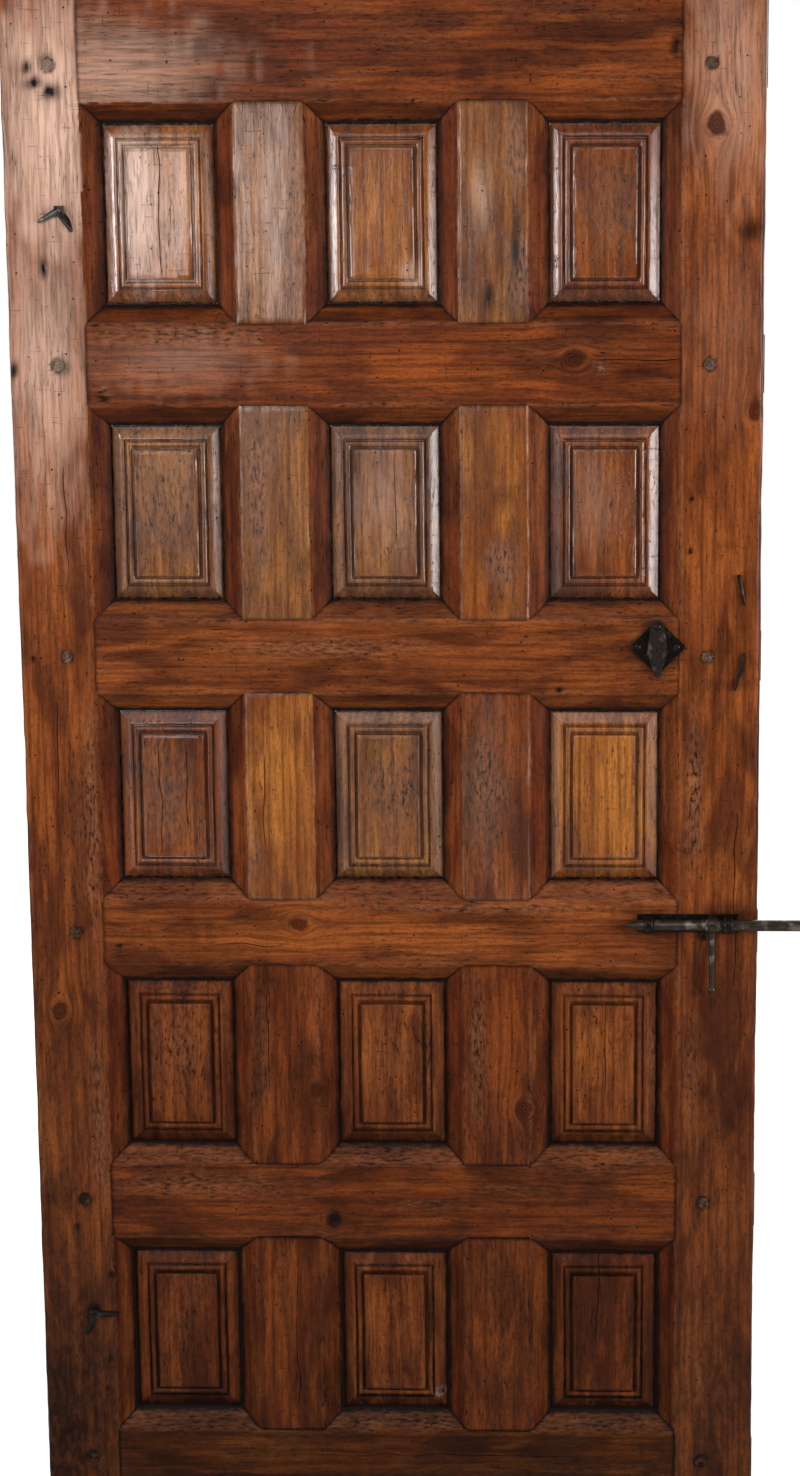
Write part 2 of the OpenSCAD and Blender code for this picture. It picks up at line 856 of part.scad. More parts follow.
// The lock bolt, drawn back: a square head, and a tail slotted over the stump
module lock_bolt() {
    head_x = case_x1 - lock_throw - case_wall - run_fit;
    tail_x0 = tail_slot_x - lock_tail_end;
    color(iron)
        difference() {
            union() {
                translate([head_x, lock_bolt_y, lock_bolt_z - lock_bolt_h / 2])
                    cube([right_x - head_x, lock_bolt_t, lock_bolt_h]);
                translate([tail_x0, lock_bolt_y, lock_bolt_z - lock_tail_h / 2])
                    cube([head_x - tail_x0 + over, lock_bolt_t, lock_tail_h]);
            }
            translate([tail_slot_x, lock_bolt_y - over, lock_bolt_z - tail_slot_w / 2])
                cube([lock_throw + 2 * (stump_r + run_fit), lock_bolt_t + 2 * over, tail_slot_w]);
        }
}

// The two nails that hold the lock, their points bent over on the front
module lock_nails() {
    color(iron) {
        nail_shanks(nail_r);
        for (k = [0, 1])
            translate([nail_xs[k], 0, nail_zs[k]]) {
                translate([0, lock_back, 0])
                    mirror([0, 1, 0])
                        domed_head(nail_head_r, nail_head_h);
                translate([0, front_y - nail_r, 0]) {
                    sphere(r = knuckle_r);
                    rotate([0, 90 - nail_turns[k], 0])
                        cylinder(r1 = nail_r, r2 = nail_tip_r, h = nail_points[k]);
                }
            }
    }
}

left_stile();
right_stile();
for (i = [0 : row_count])
    rail(i);
for (r = [0 : row_count - 1], m = [0 : col_count - 2])
    muntin(r, m);
for (r = [0 : row_count - 1], c = [0 : col_count - 1])
    panel(r, c);
joint_pegs();
hinge_eye(upper_eye_z, upper_tail_ls, upper_tail_turns);  // upper_hinge_eye
hinge_eye(lower_eye_z, lower_tail_ls, lower_tail_turns);  // lower_hinge_eye
escutcheon_plate();
escutcheon_nails();
keyhole_cover();
cover_rivet();
bolt_plate();
staple(inner_staple_x);  // inner_staple
staple(outer_staple_x);  // outer_staple
bolt_bar();
bolt_handle();
lock_plate();
lock_case();
lock_bolt();
lock_nails();
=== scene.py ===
# %% [markdown]
# # Antique panelled door leaf
#
# An old pine leaf: two stiles, six rails and ten muntins frame fifteen raised and fielded panels. The CAD
# frame holds every size. Here the wooden pieces are built again as dense skins on the same places, so that
# plane marks, worn arrises, splits and holes are real shape. The ironwork keeps its CAD solids.

# %% Load the frame
import itertools
import math
from dataclasses import dataclass

import bmesh
import bpy
import numpy as np
from mathutils import Matrix, Vector


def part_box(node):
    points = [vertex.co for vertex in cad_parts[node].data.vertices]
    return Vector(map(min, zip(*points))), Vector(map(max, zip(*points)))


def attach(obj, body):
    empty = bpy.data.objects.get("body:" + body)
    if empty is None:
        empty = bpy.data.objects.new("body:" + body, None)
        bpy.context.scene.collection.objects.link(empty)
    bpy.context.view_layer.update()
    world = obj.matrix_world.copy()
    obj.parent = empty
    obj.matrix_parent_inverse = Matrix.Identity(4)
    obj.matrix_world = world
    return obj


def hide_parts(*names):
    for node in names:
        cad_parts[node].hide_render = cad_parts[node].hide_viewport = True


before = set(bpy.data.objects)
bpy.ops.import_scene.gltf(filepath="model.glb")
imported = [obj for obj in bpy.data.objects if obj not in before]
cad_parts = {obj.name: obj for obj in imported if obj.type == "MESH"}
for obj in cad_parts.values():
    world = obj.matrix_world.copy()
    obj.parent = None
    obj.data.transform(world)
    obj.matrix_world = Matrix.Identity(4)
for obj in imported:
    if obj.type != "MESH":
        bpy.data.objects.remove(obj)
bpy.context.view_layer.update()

MM = 0.001
TINY = 1e-6


def put(name, data):
    """Makes an object of the data and links it to the scene."""
    made = bpy.data.objects.new(name, data)
    bpy.context.scene.collection.objects.link(made)
    return made


# %% [markdown]
# ## Camera
#
# The camera was fitted to the photo: it stands at head height, a little right of the middle, and looks
# down on the leaf. The optical axis lies right of the picture's middle, so the lens is shifted.

# %% Place the camera
PHOTO_W, PHOTO_H = 800, 1476
FOCAL_PX = 2600.1
AXIS_PX = (534.3, 738.0)
SENSOR_MM = 36.0
CAMERA_AT = Vector((252.8, -3134.7, 1581.2)) * MM
YAW, PITCH, ROLL = (math.radians(a) for a in (1.417, -9.6, 0.152))

turn = Matrix.Rotation(YAW, 3, "Z") @ Matrix.Rotation(PITCH, 3, "X") @ Matrix.Rotation(ROLL, 3, "Y")
right, ahead, up = (turn.col[i] for i in range(3))
lens = bpy.data.cameras.new("photo_camera")
lens.sensor_width = SENSOR_MM
lens.lens = FOCAL_PX * SENSOR_MM / PHOTO_H
lens.shift_x = (PHOTO_W / 2 - AXIS_PX[0]) / PHOTO_H
camera = put("photo_camera", lens)
camera.matrix_world = Matrix([(right[i], up[i], -ahead[i], CAMERA_AT[i]) for i in range(3)] + [(0, 0, 0, 1)])
bpy.context.scene.camera = camera
print("lens", round(lens.lens, 2), "mm, shift", round(lens.shift_x, 4))

# %% [markdown]
# ## Places of the pieces
#
# The boxes of the CAD nodes give the faces and openings, so the layout isn't repeated here. Profiles and a
# few small places are named again where they are used.

# %% Read the layout
CHAMFER_W, CHAMFER_D = 23.5 * MM, 17 * MM
LIP, GROOVE_T, GROOVE_DEPTH = 3 * MM, 10.6 * MM, 10 * MM
RAILS, ROWS, COLUMNS = range(1, 7), range(1, 6), ("left", "middle", "right")

stile_low, stile_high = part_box("left_stile")
FRONT, BACK, TOP = stile_low.y, stile_high.y, stile_high.z
THICK = BACK - FRONT
LEFT, INNER_LEFT = stile_low.x, stile_high.x - CHAMFER_W
RIGHT, INNER_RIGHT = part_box("right_stile")[1].x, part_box("right_stile")[0].x + CHAMFER_W


def rail_span(number):
    """Lowest and highest z of a rail's face, without its chamfered edges."""
    low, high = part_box(f"rail_{number}")
    return low.z + CHAMFER_W * (number < RAILS[-1]), high.z - CHAMFER_W * (number > RAILS[0])


def muntin_span(row, side):
    """Left and right x of a muntin's face."""
    low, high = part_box(f"muntin_{row}_{side}")
    return low.x + CHAMFER_W, high.x - CHAMFER_W


def row_span(row):
    """Lowest and highest z of a row of openings."""
    return rail_span(row + 1)[1], rail_span(row)[0]


left_post, right_post = muntin_span(1, "left"), muntin_span(1, "right")
column_spans = [(INNER_LEFT, left_post[0]), (left_post[1], right_post[0]), (right_post[1], INNER_RIGHT)]


def on_face(px, py):
    """The x and z on the leaf's front that a photo pixel shows."""
    ray = turn @ Vector(((px - AXIS_PX[0]) / FOCAL_PX, 1, (AXIS_PX[1] - py) / FOCAL_PX))
    point = CAMERA_AT + ray * ((FRONT - CAMERA_AT.y) / ray.y)
    return point.x, point.z


print("openings", [round(b - a, 4) for a, b in column_spans], round(row_span(1)[1] - row_span(1)[0], 4))

# %% [markdown]
# ## Materials
#
# The wood is old waxed pine. One function makes every tone: it reads three attributes that the meshes
# carry. `grain` follows the board's own direction and bends round knots, so streaks run with the wood.
# `finish` says where the wood is dry, dirty or in painted shade, honey-coloured or a knot, and `pale` where
# it is bleached, with painted sheen where the glare falls. A photo texture would be quicker, but it would fix
# one light and one size. Patterns computed from millimetres stay sharp and can be resized.

# %% Helpers for colours and nodes
def srgb(code):
    """Linear colour with alpha from an sRGB hex code."""
    parts = [int(code[i:i + 2], 16) / 255 for i in (1, 3, 5)]
    return tuple(c / 12.92 if c <= 0.04045 else ((c + 0.055) / 1.055) ** 2.4 for c in parts) + (1.0,)


def add(tree, kind, inputs=None, **settings):
    """Adds one shader node with its settings, input values and links, and returns it."""
    made = tree.nodes.new("ShaderNode" + kind)
    for name, value in settings.items():
        setattr(made, name, value)
    for socket, value in (inputs or {}).items():
        if isinstance(value, bpy.types.Node):
            value = value.outputs[0]
        if isinstance(value, bpy.types.NodeSocket):
            tree.links.new(value, made.inputs[socket])
        else:
            made.inputs[socket].default_value = value
    return made


def new_material(name):
    """An empty node material, its tree and its surface shader."""
    material = bpy.data.materials.new(name)
    material.use_nodes = True
    tree = material.node_tree
    tree.nodes.clear()
    shader = add(tree, "BsdfPrincipled")
    add(tree, "OutputMaterial", {"Surface": shader})
    return material, tree, shader


# Sockets of the colour Mix node
FACTOR, MIX_A, MIX_B, MIXED = 0, 6, 7, 2


def per_mm(along, across):
    """Pattern scale that repeats about every so many millimetres along and across the grain."""
    return (1 / (along * MM), 1 / (across * MM), 1 / (across * MM))


# %% [markdown]
# The wood shader lays clouds and streaks first, then honey wood, growth bands and fibres. Over them come dry
# and bleached wood with painted sheen, scratches, pores, rot, wormholes, knots, and dirt with painted shade.
# Tables say what is drawn, and short loops make the nodes, so a tone can be changed without reading the node
# tree.

# %% What waxed pine shows
DRY_WOOD, DRY_PALE, BLEACHED_AND_SHEEN = "#4a2b1a", "#96603e", "#d5ad96"
DIRT_AND_SHADE, KNOT, CRUST = "#120805", "#55230f", "#1a1311"

# Pattern: node, its output, millimetres along and across the grain, and inputs. Bands, pores and wormholes
# are drawn coarser than real ones, so that they still show when the whole leaf is in the picture.
PATTERNS = {
    "band": ("TexWave", "Fac", 420, 22,
             {"Scale": 0.4, "Distortion": 9.0, "Detail": 2.0, "Detail Scale": 0.6}),
    "fibre": ("TexNoise", "Fac", 70, 4.4, {"Detail": 4.0, "Roughness": 0.6}),
    "streak": ("TexNoise", "Fac", 260, 13, {"Detail": 3.0, "Distortion": 0.6}),
    "cloud": ("TexNoise", "Fac", 130, 48, {"Detail": 4.0, "Distortion": 0.8}),
    "glow": ("TexNoise", "Fac", 170, 40, {"Scale": 1.3, "Detail": 3.0, "Distortion": 0.5}),
    "pores": ("TexNoise", "Fac", 22, 1.9, {"Detail": 2.0}),
    "pits": ("TexNoise", "Fac", 11, 3.6, {"Detail": 4.0, "Roughness": 0.65}),
    "mottle": ("TexNoise", "Fac", 20, 9, {"Detail": 5.0, "Roughness": 0.7}),
    "grit": ("TexNoise", "Fac", 6, 2.2, {"Detail": 3.0, "Roughness": 0.6}),
    "scratch": ("TexNoise", "Fac", 2.4, 40, {"Detail": 2.0, "Distortion": 0.3}),
    "worm": ("TexVoronoi", "Distance", 11, 11, {"Randomness": 1.0}),
    "worm_cell": ("TexVoronoi", "Color", 11, 11, {"Randomness": 1.0}),
}
NODE_SETTINGS = {"TexWave": {"bands_direction": "Y"}}
RING_TURNS = 26.0

# Step: a soft edge (what it reads, from, to and the values there), a list to multiply, or weights to add up
STEPS = {
    "cloud_mark": ("cloud", 0.42, 0.62, 0, 1),
    "streak_mark": ("streak", 0.42, 0.7, 0, 1),
    "mottle_mark": ("mottle", 0.46, 0.7, 0, 1),
    "glow_mark": ("glow", 0.46, 0.66, 0, 1),
    "gold_patch": ("glow", 0.3, 0.6, 0.55, 1),
    "gold_mark": ["gold", "gold_patch"],
    "warm": {"glow_mark": 0.65, "gold_mark": 1},
    "band_mark": ("band", 0.5, 0.95, 0, 1),
    "band_line": ("band", 0.8, 0.97, 0, 1),
    "grit_mark": ("grit", 0.48, 0.66, 0, 1),
    "fibre_mark": ("fibre", 0.42, 0.64, 0, 1),
    "dry_grain": ("pits", 0.35, 0.62, 0, 1),
    "dry_patch": ("cloud", 0.35, 0.65, 1, 0.6),
    "dry_mark": ["dry", "dry_patch"],
    "pale_fibre": ("fibre", 0.35, 0.68, 1.05, 0.5),
    "pale_mark": ["pale", "pale_fibre"],
    "scratch_line": ("scratch", 0.64, 0.7, 0, 1),
    "scratch_patch": ("mottle", 0.44, 0.6, 0, 1),
    "scratch_mark": ["scratch_line", "scratch_patch"],
    "pore_line": ("pores", 0.59, 0.67, 0, 1),
    "pore_patch": ("cloud", 0.38, 0.6, 0.25, 1),
    "pore_mark": ["pore_line", "pore_patch"],
    "rot": {"pits": 1, "dry": 0.11, "pale": -0.07},
    "rot_hole": ("rot", 0.635, 0.68, 0, 1),
    "rot_patch": ("cloud", 0.38, 0.56, 0.3, 1),
    "rot_mark": ["rot_hole", "rot_patch"],
    "worm_hole": ("worm", 0.14, 0.09, 0, 1),
    "worm_patch": ("worm_cell", 0.34, 0.3, 0, 1),
    "worm_mark": ["worm_hole", "worm_patch"],
    "ring_mark": ("ring", -1, 1, 0.1, 0.85),
    "ragged_knot": {"knot": 1, "pits": 0.6},
    "knot_mark": ("ragged_knot", 0.47, 0.8, 0, 1),
    "dirt_patch": ("mottle", 0.35, 0.6, 0.7, 1),
    "dirt_and_shade_mark": ["dirt_and_shade", "dirt_patch"],
    "grime": {"dirt_and_shade": 1, "pits": 0.9},
    "crust_mark": ("grime", 1.5, 1.75, 0, 1),
    "dry_rough": ("dry", 0.1, 0.9, 0, 0.3),
    "rough": {"dry_rough": 1, "cloud_mark": 0.05, "crust_mark": 0.5},
    "height": {"fibre": 0.5, "mottle": 0.6, "worm_mark": -1.6, "rot_mark": -1.4, "pore_mark": -0.25,
               "scratch_mark": -0.4},
}
TWO_TONES = {"dry_tone": ("dry_grain", DRY_PALE, DRY_WOOD), "knot_tone": ("ring_mark", KNOT, DIRT_AND_SHADE)}

# Layer: what it covers, how strongly and in which tone, from the bare wood outwards
LAYERS = [
    ("cloud_mark", 0.8, "deep"), ("streak_mark", 0.36, "deep"), ("mottle_mark", 0.5, "deep"),
    ("warm", 1, "honey"), ("band_mark", 0.12, "deep"), ("band_line", 0.3, "deep"), ("grit_mark", 0.4, "deep"),
    ("fibre_mark", 0.5, "deep"),
    ("dry_mark", 1, "dry_tone"), ("pale_mark", 1, "bleached_and_sheen"), ("scratch_mark", 0.6, "deep"),
    ("pore_mark", 0.6, "dirt_and_shade"), ("rot_mark", 0.85, "dirt_and_shade"), ("worm_mark", 0.9, "dirt_and_shade"),
    ("knot_mark", 0.85, "knot_tone"), ("dirt_and_shade_mark", 1, "dirt_and_shade"), ("crust_mark", 0.95, "crust"),
]
WOOD_BUMP, WOOD_RELIEF = 0.55, 0.7 * MM
print(len(PATTERNS), "patterns and", len(LAYERS), "layers of wood")


# %% Waxed pine
def waxed_pine(name, deep, mid, honey, roughness, gloss):
    """Old pine with growth bands, fibres, wear, worm, and dirt with painted shade, in the given tones."""
    material, tree, shader = new_material(name)
    grain = add(tree, "Attribute", attribute_name="grain").outputs["Vector"]
    finish = add(tree, "Attribute", attribute_name="finish")
    finish_parts = add(tree, "SeparateColor", {"Color": finish.outputs["Color"]})
    value = dict(zip(("dry", "dirt_and_shade", "gold"), finish_parts.outputs))
    value["knot"] = finish.outputs["Alpha"]
    value["pale"] = add(tree, "Attribute", attribute_name="pale").outputs["Fac"]
    ring_turn = add(tree, "Math", {0: value["knot"], 1: RING_TURNS}, operation="MULTIPLY")
    value["ring"] = add(tree, "Math", {0: ring_turn}, operation="SINE")
    for pattern, (kind, output, along, across, inputs) in PATTERNS.items():
        place = add(tree, "VectorMath", {0: grain, 1: per_mm(along, across)}, operation="MULTIPLY")
        drawn = add(tree, kind, {"Vector": place, "Scale": 1.0, **inputs}, **NODE_SETTINGS.get(kind, {}))
        value[pattern] = drawn.outputs[output]

    for step, how in STEPS.items():
        if isinstance(how, tuple):
            source, start, end, low, high = how
            limits = {"Value": value[source], "From Min": start, "From Max": end,
                      "To Min": low, "To Max": high}
            made = add(tree, "MapRange", limits, interpolation_type="SMOOTHSTEP")
        elif isinstance(how, list):
            made = add(tree, "Math", {0: value[how[0]], 1: value[how[1]]}, operation="MULTIPLY")
        else:
            made = 0.0
            for part, weight in how.items():
                made = add(tree, "Math", {0: value[part], 1: weight, 2: made}, operation="MULTIPLY_ADD")
        value[step] = made

    tones = {"deep": deep, "honey": honey, "bleached_and_sheen": BLEACHED_AND_SHEEN, "dirt_and_shade": DIRT_AND_SHADE, "crust": CRUST}
    tones = {tone: srgb(code) for tone, code in tones.items()}
    for tone, (mark, first, second) in TWO_TONES.items():
        ends = {MIX_A: srgb(first), MIX_B: srgb(second)}
        mix = add(tree, "Mix", {FACTOR: value[mark], **ends}, data_type="RGBA")
        tones[tone] = mix.outputs[MIXED]
    colour = srgb(mid)
    for mark, strength, tone in LAYERS:
        share = add(tree, "Math", {0: value[mark], 1: strength}, operation="MULTIPLY")
        mix = add(tree, "Mix", {FACTOR: share, MIX_A: colour, MIX_B: tones[tone]}, data_type="RGBA")
        colour = mix.outputs[MIXED]

    rough = add(tree, "Math", {0: value["rough"], 1: roughness}, operation="ADD")
    bump = add(tree, "Bump", {"Height": value["height"], "Strength": WOOD_BUMP, "Distance": WOOD_RELIEF})
    looks = {"Base Color": colour, "Roughness": rough.outputs[0], "Normal": bump.outputs[0]}
    for socket, made in looks.items():
        tree.links.new(made, shader.inputs[socket])
    shader.inputs["Specular IOR Level"].default_value = gloss
    return material


# Deep, middle and honey colour of each tone
TONE_COLOURS = {
    "red_brown": ("#3c170a", "#7d3f1b", "#9a5323"),
    "honey": ("#512510", "#8f4e1f", "#b06c2b"),
    "dry_tan": ("#442414", "#845232", "#a0662f"),
    "dark_red": ("#2e1007", "#6d3114", "#8f471b"),
    "umber": ("#200b05", "#4e210d", "#743c10"),
}
# Polished wax is smooth, so faces mirror the soft boxes and bevels catch a sharp glare. Dark boards shine
# less. The lower leaf and the back are washed wood, which stays dull and dark. The stiles lie between. The
# mouldings hardly shine, so they outline every panel with a dark border.
WAXED_ROUGH, WAXED_GLOSS, DARK_GLOSS, DARK_TONES = 0.2, 0.42, 0.12, ("dark_red", "umber")
WASHED_ROUGH, WASHED_GLOSS = 0.36, 0.08
STILE_FINISH, MOULDING_FINISH = (0.28, 0.11), (0.4, 0.03)
MOULDING_COLOURS = ("#36140c", "#6f3014", "#824620")
TONES, DULL_TONES = {}, {}
for tone, colours in TONE_COLOURS.items():
    gloss = DARK_GLOSS if tone in DARK_TONES else WAXED_GLOSS
    TONES[tone] = waxed_pine("waxed_pine_" + tone, *colours, WAXED_ROUGH, gloss)
    DULL_TONES[tone] = waxed_pine("washed_pine_" + tone, *colours, WASHED_ROUGH, WASHED_GLOSS)
STILE_TONE = waxed_pine("waxed_pine_stiles", *TONE_COLOURS["red_brown"], *STILE_FINISH)
CHAMFER_TONE = waxed_pine("dark_waxed_pine_mouldings", *MOULDING_COLOURS, *MOULDING_FINISH)
print("wood tones", list(TONES))

# %% [markdown]
# The iron is black forge scale over hammered metal. The hammer marks are a broad bump that breaks up the
# glints, the scale is a fine one that dulls them, and small rubbed places show paler metal. What hands
# touch is paler.

# %% Forged iron
HAMMER_SIZE, SCALE_SIZE = 12 * MM, 1.6 * MM
IRON_BUMP, IRON_RELIEF, IRON_METALLIC = 0.4, 0.5 * MM, 0.8


def forged_iron(name, scale_dark, scale_pale, rubbed):
    """Black forged iron with hammer marks, scale and rubbed places."""
    material, tree, shader = new_material(name)
    place = add(tree, "TexCoord").outputs["Object"]
    hammer = add(tree, "TexNoise", {"Vector": place, "Scale": 1 / HAMMER_SIZE, "Detail": 1.0})
    flakes = {"Scale": 1 / SCALE_SIZE, "Detail": 4.0, "Roughness": 0.65}
    scale = add(tree, "TexNoise", {"Vector": place, **flakes})
    rub = add(tree, "MapRange", {"Value": hammer, "From Min": 0.56, "From Max": 0.72, "To Max": 0.6})
    ends = {MIX_A: srgb(scale_dark), MIX_B: srgb(scale_pale)}
    tone = add(tree, "Mix", {FACTOR: scale, **ends}, data_type="RGBA")
    worn = add(tree, "Mix", {FACTOR: rub, MIX_A: tone.outputs[MIXED], MIX_B: srgb(rubbed)}, data_type="RGBA")
    smooth_to_rough = {"From Min": 0.3, "From Max": 0.7, "To Min": 0.22, "To Max": 0.45}
    rough = add(tree, "MapRange", {"Value": scale, **smooth_to_rough})
    fine = add(tree, "Math", {0: scale, 1: 0.25}, operation="MULTIPLY")
    height = add(tree, "Math", {0: hammer, 1: fine}, operation="ADD")
    bump = add(tree, "Bump", {"Height": height, "Strength": IRON_BUMP, "Distance": IRON_RELIEF})
    looks = {"Base Color": worn.outputs[MIXED], "Roughness": rough.outputs[0], "Normal": bump.outputs[0]}
    for socket, made in looks.items():
        tree.links.new(made, shader.inputs[socket])
    shader.inputs["Metallic"].default_value = IRON_METALLIC
    return material


IRON = forged_iron("black_forged_iron", "#0e0b09", "#2a221d", "#453e38")
HANDLED_IRON = forged_iron("hand_rubbed_forged_iron", "#241d19", "#4a4039", "#857b71")
# Pale iron whose colour holds a painted highlight, used on the left arm of the upper tail
PAINTED_HIGHLIGHT_IRON = forged_iron("pale_forged_iron", "#3d3834", "#77716b", "#b5afa8")
print("iron", IRON.name, HANDLED_IRON.name, PAINTED_HIGHLIGHT_IRON.name)
